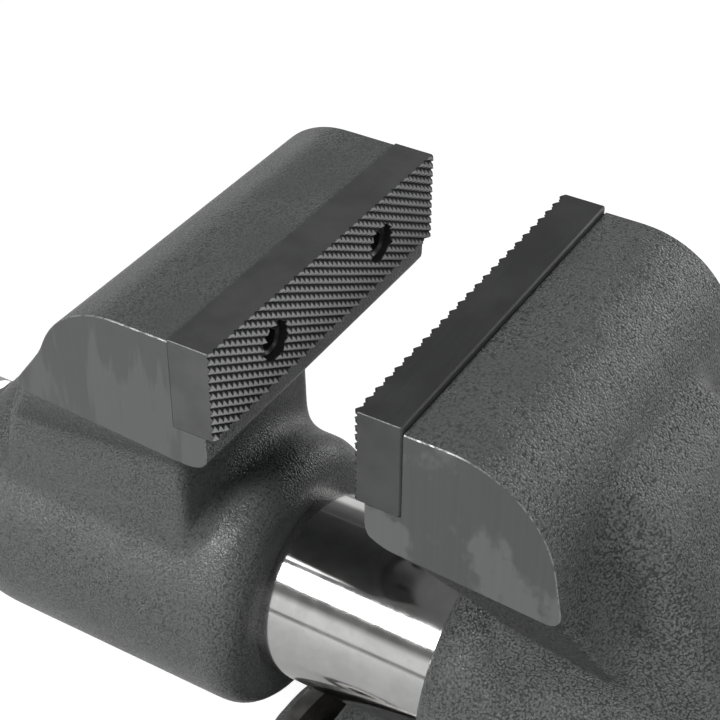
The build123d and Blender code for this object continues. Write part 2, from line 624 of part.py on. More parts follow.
def swivel_base():
    """The base: disc with a ring T-slot for the lock bolts, a pivot bore and bench lugs."""
    disc = Pos(0, 0, BASE_HEIGHT / 2) * Cone(BASE_RADIUS, BASE_RADIUS - BASE_TAPER, BASE_HEIGHT)
    disc = fillet(disc.edges().group_by(Axis.Z)[-1], BASE_ROUND)
    for index in range(BENCH_BOLT_COUNT):
        turn = Rot(0, 0, (index + 0.5) * 360 / BENCH_BOLT_COUNT)
        disc += turn * bench_lug()
    for index in range(BENCH_BOLT_COUNT):
        turn = Rot(0, 0, (index + 0.5) * 360 / BENCH_BOLT_COUNT)
        disc -= turn * Pos(BENCH_BOLT_CIRCLE / 2, 0, LUG_HEIGHT / 2) * Cylinder(
            BENCH_HOLE_RADIUS, LUG_HEIGHT + 2)
    disc -= ring_groove(SLOT_HALF_WIDTH, BASE_HEIGHT - SLOT_LIP - 1, BASE_HEIGHT)
    pocket_top = BASE_HEIGHT - SLOT_LIP
    disc -= ring_groove(SLOT_POCKET_HALF_WIDTH, pocket_top - SLOT_POCKET_HEIGHT, pocket_top)
    disc -= Pos(SLOT_CIRCLE, 0, BASE_HEIGHT - SLOT_LIP / 2) * Cylinder(SLOT_ENTRY_RADIUS, SLOT_LIP + 1)
    disc -= Pos(0, 0, BASE_HEIGHT / 2) * Cylinder(PIVOT_RADIUS + RUNNING, BASE_HEIGHT)
    return disc - base_hollow()


def bench_lug():
    """One foot of the base along +X, out to its bench bolt."""
    reach = BENCH_BOLT_CIRCLE / 2
    lug = Pos(reach, 0, LUG_HEIGHT / 2) * Cylinder(LUG_RADIUS, LUG_HEIGHT)
    lug += Pos(reach - LUG_RADIUS, 0, LUG_HEIGHT / 2) * Box(2 * LUG_RADIUS, 2 * LUG_RADIUS, LUG_HEIGHT)
    return fillet(lug.edges().group_by(Axis.Z)[-1], LUG_ROUND)


def ring_groove(half_width, bottom, top):
    """A ring about the swivel axis on the lock bolts' circle."""
    outer = Pos(0, 0, (bottom + top) / 2) * Cylinder(SLOT_CIRCLE + half_width, top - bottom)
    return outer - Pos(0, 0, (bottom + top) / 2) * Cylinder(SLOT_CIRCLE - half_width, top - bottom)


def base_hollow():
    """The cored underside of the base, between its rim, its pivot boss and its ribs."""
    outer = BASE_RADIUS - BASE_RIM
    hollow = Pos(0, 0, BASE_CORE / 2) * Cylinder(outer, BASE_CORE)
    hollow -= Pos(0, 0, BASE_CORE / 2) * Cylinder(PIVOT_RADIUS + BASE_RIM, BASE_CORE)
    for index in range(BENCH_BOLT_COUNT):
        hollow -= Rot(0, 0, (index + 0.5) * 360 / BENCH_BOLT_COUNT) * Pos(
            outer / 2, 0, BASE_CORE / 2) * Box(outer, BASE_RIB, BASE_CORE)
    return hollow


def lock_bolt(side):
    """A T-head bolt that rides in the ring slot and clamps an ear of the flange."""
    head_top = BASE_HEIGHT - SLOT_LIP - BASE_GAP
    tip = FLANGE_TOP + LOCK_WASHER + LOCK_HUB_HEIGHT + LOCK_BOLT_SHOW
    shank = Pos(0, 0, (head_top + tip) / 2) * Cylinder(LOCK_BOLT_RADIUS, tip - head_top)
    shank = chamfer(shank.edges().group_by(Axis.Z)[-1], 1)
    head_height = SLOT_POCKET_HEIGHT - 2
    head = Pos(0, 0, head_top - head_height / 2) * Box(
        2 * SLOT_HALF_WIDTH, 2 * SLOT_POCKET_HALF_WIDTH - 3, head_height)
    return Pos(0, side * SLOT_CIRCLE, 0) * (shank + head)


def lock_washer(side):
    """The washer between an ear and its lever hub."""
    ring = Cylinder(LOCK_HUB_RADIUS, LOCK_WASHER) - Cylinder(
        LOCK_BOLT_RADIUS + HOLE_CLEARANCE, LOCK_WASHER)
    return Pos(0, side * SLOT_CIRCLE, FLANGE_TOP + LOCK_WASHER / 2) * ring


def lever_place(side):
    """The frame of a lock lever: its X axis runs out along the rod."""
    centre = FLANGE_TOP + LOCK_WASHER + LOCK_HUB_HEIGHT * 0.55
    turn = side * (90 - LOCK_ROD_TURN)
    return Pos(0, side * SLOT_CIRCLE, centre) * Rot(0, 0, turn) * Rot(0, -LOCK_ROD_RISE, 0)


def lock_rod(side):
    """The rod of a lock lever."""
    start = LOCK_BOLT_RADIUS + LOCK_ROD_START
    return lever_place(side) * Pos(start + LOCK_ROD_LENGTH / 2, 0, 0) * Rot(0, 90, 0) * Cylinder(
        LOCK_ROD_RADIUS, LOCK_ROD_LENGTH)


def lock_hub(side):
    """The nut of a lock lever, with a crowned top and the rod's socket."""
    bottom = FLANGE_TOP + LOCK_WASHER
    hub = Pos(0, side * SLOT_CIRCLE, bottom + LOCK_HUB_HEIGHT / 2) * Cylinder(
        LOCK_HUB_RADIUS, LOCK_HUB_HEIGHT)
    hub = fillet(hub.edges().group_by(Axis.Z)[-1], LOCK_HUB_RADIUS / 4)
    hub -= Pos(0, side * SLOT_CIRCLE, bottom + LOCK_HUB_HEIGHT / 2) * Cylinder(
        LOCK_BOLT_RADIUS + RUNNING, LOCK_HUB_HEIGHT + 2)
    return hub - lock_rod(side)


def lock_knob(side):
    """The ball on a lock lever's end."""
    end = LOCK_BOLT_RADIUS + LOCK_ROD_START + LOCK_ROD_LENGTH
    ball = lever_place(side) * Pos(end - LOCK_KNOB_RADIUS / 2, 0, 0) * Sphere(LOCK_KNOB_RADIUS)
    return ball - lock_rod(side)


def pieces():
    """Every node of the vise by name."""
    parts = {
        "swivel_base": swivel_base(),
        "rear_casting": rear_casting(),
        "front_casting": front_casting(),
        "slide_bar": slide_bar(),
        "bar_dowel": dowel_pin(),
        "bar_wiper": bar_wiper(),
        "guide_key": guide_key(),
        "key_screw": key_screw(),
        "spindle_nut": spindle_nut(),
        "nut_bolt": nut_bolt(),
        "nut_washer": nut_washer(),
        "rear_cap": rear_cap(),
        "spindle": spindle(),
        "spindle_collar": spindle_collar(),
        "collar_pin": collar_pin(),
        "thrust_washer_inner": thrust_ring(0, THRUST_WASHER),
        "thrust_bearing": thrust_ring(THRUST_WASHER, THRUST_BEARING),
        "thrust_washer_outer": thrust_ring(THRUST_WASHER + THRUST_BEARING, THRUST_WASHER),
        "handle_bar": handle_bar(),
    }
    insert = jaw_insert()
    screws = insert_screws()
    parts["front_insert"] = as_front(insert)
    parts["rear_insert"] = as_rear(insert)
    parts["front_insert_screws"] = as_front(Compound(screws))
    parts["rear_insert_screws"] = as_rear(Compound(screws))
    for name, side in (("far", 1), ("near", -1)):
        parts[f"handle_knob_{name}"] = handle_knob(side)
        parts[f"handle_ring_{name}"] = handle_ring(side)
        parts[f"lock_bolt_{name}"] = lock_bolt(side)
        parts[f"lock_washer_{name}"] = lock_washer(side)
        parts[f"lock_hub_{name}"] = lock_hub(side)
        parts[f"lock_rod_{name}"] = lock_rod(side)
        parts[f"lock_knob_{name}"] = lock_knob(side)
    return parts


os.makedirs("parts", exist_ok=True)
for node, solid in pieces().items():
    export_step(solid, f"parts/{node}.step")
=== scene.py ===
"""Looks of a round-bar engineers vise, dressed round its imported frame.

X runs along the slide bar from the handle to the closed barrel, Z is up, and -Y is the near side.
The scene is in metres. Sizes in the classes are in millimetres, as on a drawing.
"""
from __future__ import annotations

import json
import logging
import math
from collections.abc import Callable
from dataclasses import dataclass, field
from enum import Enum

import bmesh
import bpy
from mathutils import Matrix, Vector

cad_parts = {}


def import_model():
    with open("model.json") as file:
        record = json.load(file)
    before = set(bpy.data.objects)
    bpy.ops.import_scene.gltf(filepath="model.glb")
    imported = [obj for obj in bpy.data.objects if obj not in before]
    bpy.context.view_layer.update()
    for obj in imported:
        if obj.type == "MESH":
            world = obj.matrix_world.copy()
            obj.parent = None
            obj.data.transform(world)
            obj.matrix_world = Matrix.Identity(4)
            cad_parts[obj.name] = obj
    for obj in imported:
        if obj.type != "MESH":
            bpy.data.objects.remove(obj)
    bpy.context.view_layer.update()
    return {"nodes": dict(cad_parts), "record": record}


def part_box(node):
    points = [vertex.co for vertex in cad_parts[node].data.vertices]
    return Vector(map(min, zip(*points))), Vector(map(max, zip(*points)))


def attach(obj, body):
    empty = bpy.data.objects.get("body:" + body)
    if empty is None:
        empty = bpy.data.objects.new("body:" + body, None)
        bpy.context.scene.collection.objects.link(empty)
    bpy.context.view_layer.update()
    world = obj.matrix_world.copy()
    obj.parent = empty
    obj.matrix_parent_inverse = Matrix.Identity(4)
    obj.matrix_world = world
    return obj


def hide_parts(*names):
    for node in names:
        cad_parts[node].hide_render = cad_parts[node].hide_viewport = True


MM = 0.001
OIL_FILM = 0.02  # gap between flat faces that turn on one another, in millimetres
OPEN = 9.0  # how far a cutter stands out of the face that it goes in by
ON_AXIS = 1e-6  # a profile's point no further from the axis than this is on it
ON_FACE = 0.02  # a face's centre no further from a plane than this is in it
FACING = 0.99  # a unit normal's part along an axis, from which on the face faces along it
LEVEL = 0.999  # the same for a face that has to be dead level
log = logging.getLogger("vise")

Object = bpy.types.Object
Socket = bpy.types.NodeSocket
Point = tuple[float, float, float]
Range = tuple[float, float]
Outline = list[tuple[float, float]]


# Node trees


class NodeTree:
    """A node tree that is written node by node."""

    def __init__(self, tree: bpy.types.NodeTree) -> None:
        """Takes the tree to write in."""
        self.nodes = tree.nodes
        self.links = tree.links

    def put(self, socket: Socket, value: object) -> None:
        """Links an input to another node's output, or sets its value."""
        if isinstance(value, Socket):
            self.links.new(value, socket)
        else:
            socket.default_value = value

    def add(self, kind: str, inputs: dict[str | int, object] | None = None, **settings: object,
            ) -> bpy.types.Node:
        """Adds a node.

        Args:
            kind: Its type.
            inputs: Values or outputs for its inputs, by name or by number.
            **settings: Its properties.

        Returns:
            The node.
        """
        node = self.nodes.new(kind)
        for name, value in settings.items():
            setattr(node, name, value)
        for name, value in (inputs or {}).items():
            self.put(node.inputs[name], value)
        return node

    def calc(self, operation: str, *values: object) -> Socket:
        """The result of a math operation on values or outputs."""
        inputs = dict(enumerate(values))
        return self.add("ShaderNodeMath", inputs, operation=operation).outputs[0]

    def vector(self, operation: str, inputs: dict[str | int, object]) -> bpy.types.NodeOutputs:
        """The outputs of a vector math operation on its inputs."""
        return self.add("ShaderNodeVectorMath", inputs, operation=operation).outputs


class Shader(NodeTree):
    """One material's tree round a Principled shader, placed by Object coordinates.

    Attributes:
        material: The material.
        surface: Its Principled shader.
        place: The Object coordinates, which are the frame's metres.
    """

    def __init__(self, name: str) -> None:
        """Starts a material of a name."""
        self.material = bpy.data.materials.new(name)
        self.material.use_nodes = True
        super().__init__(self.material.node_tree)
        self.surface = self.nodes["Principled BSDF"]
        self.place = self.add("ShaderNodeTexCoord").outputs["Object"]

    def along(self, axis: str) -> Socket:
        """How far a place is along X, Y or Z, in metres."""
        return self.add("ShaderNodeSeparateXYZ", {"Vector": self.place}).outputs[axis]

    def scaled(self, size: float, stretch: Point = (1, 1, 1)) -> Socket:
        """Object coordinates counted in features of a size in millimetres.

        Args:
            size: The features' size.
            stretch: How many times longer a feature is along each axis.

        Returns:
            The coordinates.
        """
        scale = tuple(1 / (size * MM * longer) for longer in stretch)
        return self.add("ShaderNodeMapping", {"Vector": self.place, "Scale": scale}).outputs[0]

    def noise(self, where: Socket, detail: float = 2.0, grain: float = 0.5) -> Socket:
        """Noise from 0 to 1 with one feature to a unit of its coordinates."""
        inputs = {"Vector": where, "Scale": 1.0, "Detail": detail, "Roughness": grain}
        return self.add("ShaderNodeTexNoise", inputs).outputs["Fac"]

    def grains(self, where: Socket) -> Socket:
        """Rounded grains side by side, 1 at their middles and falling to 0 between them."""
        inputs = {"Vector": where, "Scale": 1.0}
        apart = self.add("ShaderNodeTexVoronoi", inputs, feature="F1").outputs["Distance"]
        return self.span(apart, (0.38, 0.88), (1, 0))

    def span(self, value: Socket, source: Range, target: Range) -> Socket:
        """Maps a value from one range to another, smoothly and within it."""
        inputs = {"Value": value, "From Min": source[0], "From Max": source[1],
                  "To Min": target[0], "To Max": target[1]}
        node = self.add("ShaderNodeMapRange", inputs, interpolation_type="SMOOTHSTEP")
        return node.outputs["Result"]

    def blend(self, amount: Socket, low: Point, high: Point) -> Socket:
        """Mixes two colours by an amount."""
        node = self.add("ShaderNodeMix", data_type="RGBA")
        values = {"Factor_Float": amount, "A_Color": (*low, 1), "B_Color": (*high, 1)}
        for socket in node.inputs:
            if socket.identifier in values:
                self.put(socket, values[socket.identifier])
        return next(out for out in node.outputs if out.identifier == "Result_Color")

    def bump(self, height: Socket, depth: float, below: Socket | None = None) -> Socket:
        """Raises a height of a depth in millimetres, on top of another bump if there is one."""
        inputs = {"Height": height, "Distance": depth * MM, "Strength": 1.0}
        if below is not None:
            inputs["Normal"] = below
        return self.add("ShaderNodeBump", inputs).outputs["Normal"]

    def finish(self, colour: object, roughness: object, normal: object) -> None:
        """Sets the surface's colour, roughness and normal."""
        self.put(self.surface.inputs["Base Color"], colour)
        self.put(self.surface.inputs["Roughness"], roughness)
        self.put(self.surface.inputs["Normal"], normal)


# Finishes


class Slot(Enum):
    """The record's material slots."""

    CASTING = "casting_paint"
    MILLED = "milled_paint"
    INSERT = "insert_steel"
    GROUND = "ground_steel"
    SCREW = "black_screws"
    BRIGHT = "bright_steel"
    ZINC = "zinc_steel"
    IRON = "iron_nut"
    RUBBER = "rubber_black"


@dataclass(frozen=True)
class Finish:
    """A surface finish with its real grain.

    Attributes:
        name: The material's name.
        colour: Its base colour.
        metallic: How metallic it is.
        roughness: How rough it is.
        grain: Size of its finest features in millimetres.
        depth: Height of its relief in millimetres.
        contrast: How far its tone wanders, as a share of the colour.
    """

    name: str
    colour: Point
    metallic: float
    roughness: float
    grain: float
    depth: float
    contrast: float = 0.1

    def material(self) -> bpy.types.Material:
        """The finish's material, made when it is first asked for."""
        made = bpy.data.materials.get(self.name)
        if made is None:
            shader = Shader(self.name)
            shader.surface.inputs["Metallic"].default_value = self.metallic
            self.dress(shader)
            made = shader.material
        return made

    def toned(self, shader: Shader, value: Socket, source: Range) -> Socket:
        """The colour, which runs from its darkest to its lightest tone.

        Args:
            shader: The material's tree.
            value: What it follows.
            source: The value at the darkest tone and at the lightest.

        Returns:
            The colour.
        """
        dark = tuple(part * (1 - self.contrast) for part in self.colour)
        light = tuple(part * (1 + self.contrast) for part in self.colour)
        return shader.blend(shader.span(value, source, (0, 1)), dark, light)

    def roughened(self, shader: Shader, value: Socket, source: Range, shares: Range) -> Socket:
        """The roughness, which runs between two shares of its own measure.

        Args:
            shader: The material's tree.
            value: What it follows.
            source: The value at the first share and at the last.
            shares: The two shares.

        Returns:
            The roughness.
        """
        return shader.span(value, source, tuple(self.roughness * share for share in shares))

    def dress(self, shader: Shader) -> None:
        """Adds plain mottling and relief to a shader."""
        grain = shader.noise(shader.scaled(self.grain), 3.0)
        mottle = shader.noise(shader.scaled(self.grain * 14), 2.0)
        shader.finish(self.toned(shader, mottle, (0.35, 0.65)),
                      self.roughened(shader, grain, (0.3, 0.7), (0.85, 1.15)),
                      shader.bump(grain, self.depth))


@dataclass(frozen=True)
class RoughEnamel(Finish):
    """Enamel on a sand casting, pitted, and smoother towards the crown.

    Attributes:
        smooth_from: Height where the crown starts to be smoother, in millimetres.
        smooth_to: Height where it is smoothest.
        gloss: How strongly it mirrors, where 0.5 is plain enamel.
    """

    smooth_from: float = 236.0
    smooth_to: float = 262.0
    gloss: float = 0.36

    def dress(self, shader: Shader) -> None:
        """Adds grains with dark gaps, slow lumps, and patches where the grains are flatter."""
        shader.surface.inputs["Specular IOR Level"].default_value = self.gloss
        fine = shader.noise(shader.scaled(self.grain), 1.0)
        cells = shader.grains(shader.scaled(self.grain))
        pits = shader.calc("MULTIPLY", cells, shader.span(fine, (0.3, 0.65), (0.4, 1)))
        lumps = shader.noise(shader.scaled(self.grain * 9), 1.0)
        patches = shader.noise(shader.scaled(self.grain * 40), 2.0)
        crown = shader.span(shader.along("Z"), (self.smooth_from * MM, self.smooth_to * MM),
                            (1, 0.45))
        strength = shader.calc("MULTIPLY", crown, shader.span(patches, (0.36, 0.62), (0.5, 1)))
        centred = shader.calc("SUBTRACT", pits, 0.5)
        relief = shader.calc("MULTIPLY_ADD", centred, strength, 0.5)
        coarse = shader.bump(lumps, self.depth * 0.8)
        shader.finish(self.toned(shader, relief, (0.1, 0.75)),
                      self.roughened(shader, relief, (0.1, 0.75), (1.3, 0.9)),
                      shader.bump(relief, self.depth, coarse))


@dataclass(frozen=True)
class MilledEnamel(Finish):
    """The same enamel over a milled face: smooth, with pale rubbed patches, more of them low down.

    Attributes:
        patch: Size of a patch in millimetres.
        run: How many times higher than wide a patch is.
        rubbed_from: Height where there are no more patches, in millimetres.
        rubbed_to: Height from where down there are most.
    """

    patch: float = 15.0
    run: float = 1.5
    rubbed_from: float = 246.0
    rubbed_to: float = 222.0

    def dress(self, shader: Shader) -> None:
        """Adds faint upright streaks and the patches."""
        streaks = shader.noise(shader.scaled(self.grain, (1, 1, 60)), 2.0)
        patches = shader.noise(shader.scaled(self.patch, (1, 1, self.run)), 4.0, 0.55)
        low = shader.span(shader.along("Z"), (self.rubbed_to * MM, self.rubbed_from * MM),
                          (0.10, -0.06))
        rubbed = shader.span(shader.calc("ADD", patches, low), (0.52, 0.62), (0.30, 1.0))
        tone = shader.calc("MULTIPLY_ADD", streaks, 0.35, rubbed)
        shader.finish(self.toned(shader, tone, (0.1, 1.5)),
                      self.roughened(shader, patches, (0.3, 0.7), (0.9, 1.1)),
                      shader.bump(streaks, self.depth))


@dataclass(frozen=True)
class WornEdgeAndHighlight(Finish):
    """A machined edge where the enamel is thin and metal shows through, made lighter also as a
    painted highlight.
    """

    def dress(self, shader: Shader) -> None:
        """Adds the broken line of bare metal, which is also the edge's painted highlight."""
        wear = shader.noise(shader.scaled(self.grain), 3.0, 0.6)
        shader.finish(self.toned(shader, wear, (0.38, 0.55)),
                      self.roughened(shader, wear, (0.4, 0.6), (1.3, 0.8)),
                      shader.bump(wear, self.depth))


@dataclass(frozen=True)
class BrushedMetal(Finish):
    """Flat-ground or oxide-black metal with straight lines along one axis.

    Attributes:
        stretch: How much longer a line is along each axis.
    """

    stretch: Point = (1, 60, 1)

    def dress(self, shader: Shader) -> None:
        """Adds the grinding lines and a slow stain."""
        lines = shader.noise(shader.scaled(self.grain, self.stretch), 3.0, 0.6)
        stain = shader.noise(shader.scaled(self.grain * 60), 3.0, 0.55)
        shader.finish(self.toned(shader, stain, (0.35, 0.65)),
                      self.roughened(shader, lines, (0.3, 0.7), (0.85, 1.2)),
                      shader.bump(lines, self.depth))


@dataclass(frozen=True)
class TurnedMetal(Finish):
    """Metal turned or ground about an axis, with lines that run round it.

    Attributes:
        origin: A point on the axis, in millimetres.
        axis: The axis's direction.
        stain: Size of a stain in millimetres.
    """

    origin: Point = (0, 0, 0)
    axis: Point = (1, 0, 0)
    stain: float = 9.0

    def dress(self, shader: Shader) -> None:
        """Adds lines by the distances along the axis and out from it, and a slow stain."""
        centre = tuple(part * MM for part in self.origin)
        offset = shader.vector("SUBTRACT", {0: shader.place, 1: centre})[0]
        along = shader.vector("DOT_PRODUCT", {0: offset, 1: self.axis})["Value"]
        across = shader.vector("CROSS_PRODUCT", {0: offset, 1: self.axis})[0]
        out = shader.vector("LENGTH", {0: across})["Value"]
        flat = shader.add("ShaderNodeCombineXYZ", {"X": along, "Y": out}).outputs[0]
        scaled = shader.vector("SCALE", {0: flat, "Scale": 1 / (self.grain * MM)})[0]
        stain = shader.noise(shader.scaled(self.stain), 3.0, 0.6)
        shader.finish(self.toned(shader, stain, (0.35, 0.65)),
                      self.roughened(shader, stain, (0.3, 0.7), (0.85, 1.25)),
                      shader.bump(shader.noise(scaled, 3.0, 0.65), self.depth))


@dataclass(frozen=True)
class ToothSteel(Finish):
    """Serrated steel: darkened towards the valleys as painted shade, and worn bright towards the
    crests.

    Attributes:
        grip: X of the grip plane, in millimetres.
        valley: Depth below it from where the painted valley shade is full.
        crest: Depth below it down to where the steel is bare.
        oxide_and_shade: How bright the dark valley tone is, as a share of the colour.
    """

    grip: float = 0.0
    valley: float = 1.6
    crest: float = 0.9
    oxide_and_shade: float = 0.25

    def dress(self, shader: Shader) -> None:
        """Mixes the dark valley tone, which is painted shade, with worn steel by the depth below
        the grip plane.
        """
        depth = shader.calc("ABSOLUTE", shader.calc("SUBTRACT", shader.along("X"), self.grip * MM))
        # Deep parts are darkened as painted shade in the valleys, and the crests are worn bright.
        worn = shader.span(depth, (self.valley * MM, self.crest * MM), (0, 1))
        oxide_and_shade = tuple(part * self.oxide_and_shade for part in self.colour)
        grain = shader.noise(shader.scaled(self.grain), 3.0)
        shader.finish(shader.blend(worn, oxide_and_shade, self.colour),
                      self.roughened(shader, worn, (0, 1), (1.5, 1)),
                      shader.bump(grain, self.depth))


BAR_AXIS = {"origin": (0, 0, 120), "axis": (1, 0, 0)}
ENAMEL_FRONT = RoughEnamel("enamel_front", (0.095, 0.099, 0.097), 0, 0.26, 0.75, 0.18, 0.42)
ENAMEL_REAR = RoughEnamel("enamel_rear", (0.094, 0.098, 0.096), 0, 0.29, 0.80, 0.50, 0.58)
# Darker, duller enamel for the rear casting's undersides above the bar: painted shade under the
# jaw.
ENAMEL_UNDER_SHADE = RoughEnamel("enamel_dry", (0.070, 0.073, 0.071), 0, 0.8, 1.0, 0.10, 0.30, gloss=0.1)
ENAMEL_MILLED = MilledEnamel("enamel_milled", (0.106, 0.110, 0.108), 0, 0.36, 0.9, 0.004, 0.36)
ENAMEL_PLANED = MilledEnamel("enamel_planed", (0.104, 0.108, 0.106), 0, 0.36, 0.9, 0.004, 0.20,
                             patch=7.0, run=6.0, rubbed_from=290.0, rubbed_to=200.0)
# Lighter enamel on the upper chamfers of the milled ends: a worn edge and a painted highlight.
ENAMEL_EDGE = WornEdgeAndHighlight("enamel_edge", (0.18, 0.184, 0.18), 0.3, 0.36, 1.6, 0.02, 0.45)
INSERT_OXIDE = BrushedMetal("insert_oxide", (0.115, 0.118, 0.116), 0.5, 0.42, 0.35, 0.004, 0.14)
INSERT_DARK = BrushedMetal("insert_dark", (0.080, 0.082, 0.081), 0.5, 0.42, 0.35, 0.004, 0.14)
TEETH_FRONT = ToothSteel("teeth_front", (0.245, 0.248, 0.245), 0.8, 0.42, 0.4, 0.004, grip=-75)
# Very dark finish for the tooth flanks of one facing and for the counterbores: painted shade.
TEETH_PAINTED_SHADE = RoughEnamel("teeth_oxide", (0.035, 0.036, 0.035), 0, 0.7, 0.4, 0.004, 0.10,
                          gloss=0.1)
TEETH_REAR = ToothSteel("teeth_rear", (0.215, 0.218, 0.215), 0.8, 0.42, 0.4, 0.004, grip=-30)
BAR_GROUND = TurnedMetal("bar_ground", (0.56, 0.56, 0.555), 1, 0.09, 0.25, 0.0006, 0.05, **BAR_AXIS)
SCREW_BLACK = Finish("screw_black", (0.035, 0.036, 0.036), 0.6, 0.36, 0.6, 0.006, 0.2)
STEEL_TURNED = TurnedMetal("steel_turned", (0.50, 0.50, 0.49), 1, 0.24, 0.3, 0.004, 0.1, **BAR_AXIS)
STEEL_HANDLE = TurnedMetal("steel_handle", (0.52, 0.52, 0.51), 1, 0.22, 0.3, 0.003, 0.1,
                           (-252, 0, 120), (0, 0.819152, -0.573576))
STEEL_ZINC = Finish("steel_zinc", (0.50, 0.50, 0.48), 1, 0.30, 1.1, 0.006, 0.12)
IRON_OILED = TurnedMetal("iron_oiled", (0.30, 0.295, 0.285), 0.9, 0.36, 0.35, 0.006, 0.2,
                         (0, 0, 0), (0, 0, 1))
IRON_BORED = TurnedMetal("iron_bored", (0.26, 0.257, 0.25), 0.9, 0.38, 0.4, 0.006, 0.2, **BAR_AXIS)
RUBBER_BLACK = Finish("rubber_black", (0.022, 0.022, 0.022), 0, 0.72, 0.5, 0.03, 0.2)
FELT_DARK = Finish("felt_dark", (0.05, 0.048, 0.045), 0, 0.95, 0.22, 0.12, 0.3)

SLOT_FINISH = {
    Slot.CASTING: ENAMEL_REAR, Slot.MILLED: ENAMEL_MILLED, Slot.INSERT: INSERT_OXIDE,
    Slot.GROUND: BAR_GROUND, Slot.SCREW: SCREW_BLACK, Slot.BRIGHT: STEEL_TURNED,
    Slot.ZINC: STEEL_ZINC, Slot.IRON: IRON_BORED, Slot.RUBBER: RUBBER_BLACK,
}


# Mesh helpers


def mesh_object(name: str, bm: bmesh.types.BMesh) -> Object:
    """Makes a linked object at the origin from a bmesh in the frame, and frees the bmesh."""
    mesh = bpy.data.meshes.new(name)
    bm.to_mesh(mesh)
    bm.free()
    obj = bpy.data.objects.new(name, mesh)
    bpy.context.scene.collection.objects.link(obj)
    return obj


def settle(obj: Object) -> Object:
    """Turns an object's modifiers into its mesh."""
    graph = bpy.context.evaluated_depsgraph_get()
    made = bpy.data.meshes.new_from_object(obj.evaluated_get(graph))
    obj.modifiers.clear()
    old, obj.data = obj.data, made
    bpy.data.meshes.remove(old)
    return obj


def remove(*objs: Object) -> None:
    """Deletes helper objects and their meshes."""
    for obj in objs:
        mesh = obj.data
        bpy.data.objects.remove(obj)
        if mesh.users == 0:
            bpy.data.meshes.remove(mesh)


def joined(name: str, objs: list[Object]) -> Object:
    """Joins helper objects, which may overlap, into one mesh."""
    bm = bmesh.new()
    for obj in objs:
        bm.from_mesh(obj.data)
    remove(*objs)
    return mesh_object(name, bm)


class Change(Enum):
    """What a helper solid does to a piece."""

    CUT = "DIFFERENCE"
    ADD = "UNION"


class Solver(Enum):
    """Blender's boolean solvers: the quick one, and the one that can cut many crossing tools."""

    QUICK = "MANIFOLD"
    EXACT = "EXACT"


def cut(obj: Object, tools: list[Object], change: Change = Change.CUT,
        solver: Solver = Solver.QUICK) -> Object:
    """Cuts or adds helper solids, one after another, and deletes them.

    Args:
        obj: The piece.
        tools: Closed helper solids.
        change: Whether they cut or add.
        solver: The solver.

    Returns:
        The piece.
    """
    for tool in tools:
        step = obj.modifiers.new("cut", "BOOLEAN")
        step.operation, step.solver, step.object = change.value, solver.value, tool
        settle(obj)
    remove(*tools)
    return obj


def moved(obj: Object, place: Matrix) -> Object:
    """Moves an object's mesh, so that the object itself stays at the origin."""
    obj.data.transform(place)
    return obj


def block(low: Point, high: Point) -> Object:
    """A box from its lowest to its highest corner."""
    bm = bmesh.new()
    bmesh.ops.create_cube(bm, size=1)
    size = [(b - a) * MM for a, b in zip(low, high)]
    middle = [(a + b) / 2 * MM for a, b in zip(low, high)]
    bm.transform(Matrix.Translation(middle) @ Matrix.Diagonal((*size, 1)))
    return mesh_object("block", bm)


def prism(outline: Outline, start: float, end: float) -> Object:
    """An outline of (x, z) points drawn along Y from one distance to another."""
    bm = bmesh.new()
    near, far = ([bm.verts.new((x * MM, y * MM, z * MM)) for x, z in outline] for y in (start, end))
    bm.faces.new(near)
    bm.faces.new(far)
    for index in range(len(outline)):
        after = (index + 1) % len(outline)
        bm.faces.new((near[index], near[after], far[after], far[index]))
    bmesh.ops.recalc_face_normals(bm, faces=bm.faces)
    return mesh_object("prism", bm)


def turned(profile: Outline, place: Matrix, segments: int = 96) -> Object:
    """A closed solid of revolution about a place's Z axis.

    Args:
        profile: Points (along, radius) from one end to the other. A radius of zero is a point on
            the axis, and a profile whose ends both stand off the axis closes on itself as a ring.
        place: Where the profile's axis stands.
        segments: Steps round the axis.

    Returns:
        The solid.
    """
    bm = bmesh.new()
    rings = []
    for along, radius in profile:
        count = segments if radius > 0 else 1
        turns = [2 * math.pi * step / count for step in range(count)]
        rings.append([bm.verts.new((radius * MM * math.cos(turn), radius * MM * math.sin(turn),
                                    along * MM)) for turn in turns])
    pairs = list(zip(rings, rings[1:]))
    if len(rings[0]) > 1 and len(rings[-1]) > 1:
        pairs.append((rings[-1], rings[0]))
    for low, high in pairs:
        if len(low) == len(high) == 1:
            continue
        for step in range(segments):
            corners = [low[step % len(low)], low[(step + 1) % len(low)],
                       high[(step + 1) % len(high)], high[step % len(high)]]
            bm.faces.new(list(dict.fromkeys(corners)))
    bmesh.ops.recalc_face_normals(bm, faces=bm.faces)
    bm.transform(place)
    return mesh_object("turned", bm)


def rod(radius: float, start: float, end: float, place: Matrix, segments: int = 96) -> Object:
    """A plain cylinder between two distances on a place's axis."""
    return turned([(start, 0), (start, radius), (end, radius), (end, 0)], place, segments)


def washer(start: float, end: float, radius: float, hole: float, place: Matrix,
           segments: int = 96) -> Object:
    """A flat ring between two distances on a place's axis, its outer edges broken."""
    soft = 0.3
    return turned([(start, hole), (start, radius - soft), (start + soft, radius),
                   (end - soft, radius), (end, radius - soft), (end, hole)], place, segments)


def recess(start: float, radius: float, depth: float, slope: float, floor: float = 1.0,
           ) -> Outline:
    """A turned groove's profile.

    Args:
        start: Where it starts.
        radius: Radius of the part beside it.
        depth: Its depth.
        slope: How far each of its sides runs along.
        floor: How far its floor does.

    Returns:
        The points.
    """
    low, end = radius - depth, start + 2 * slope + floor
    return [(start, radius), (start + slope, low), (end - slope, low), (end, radius)]


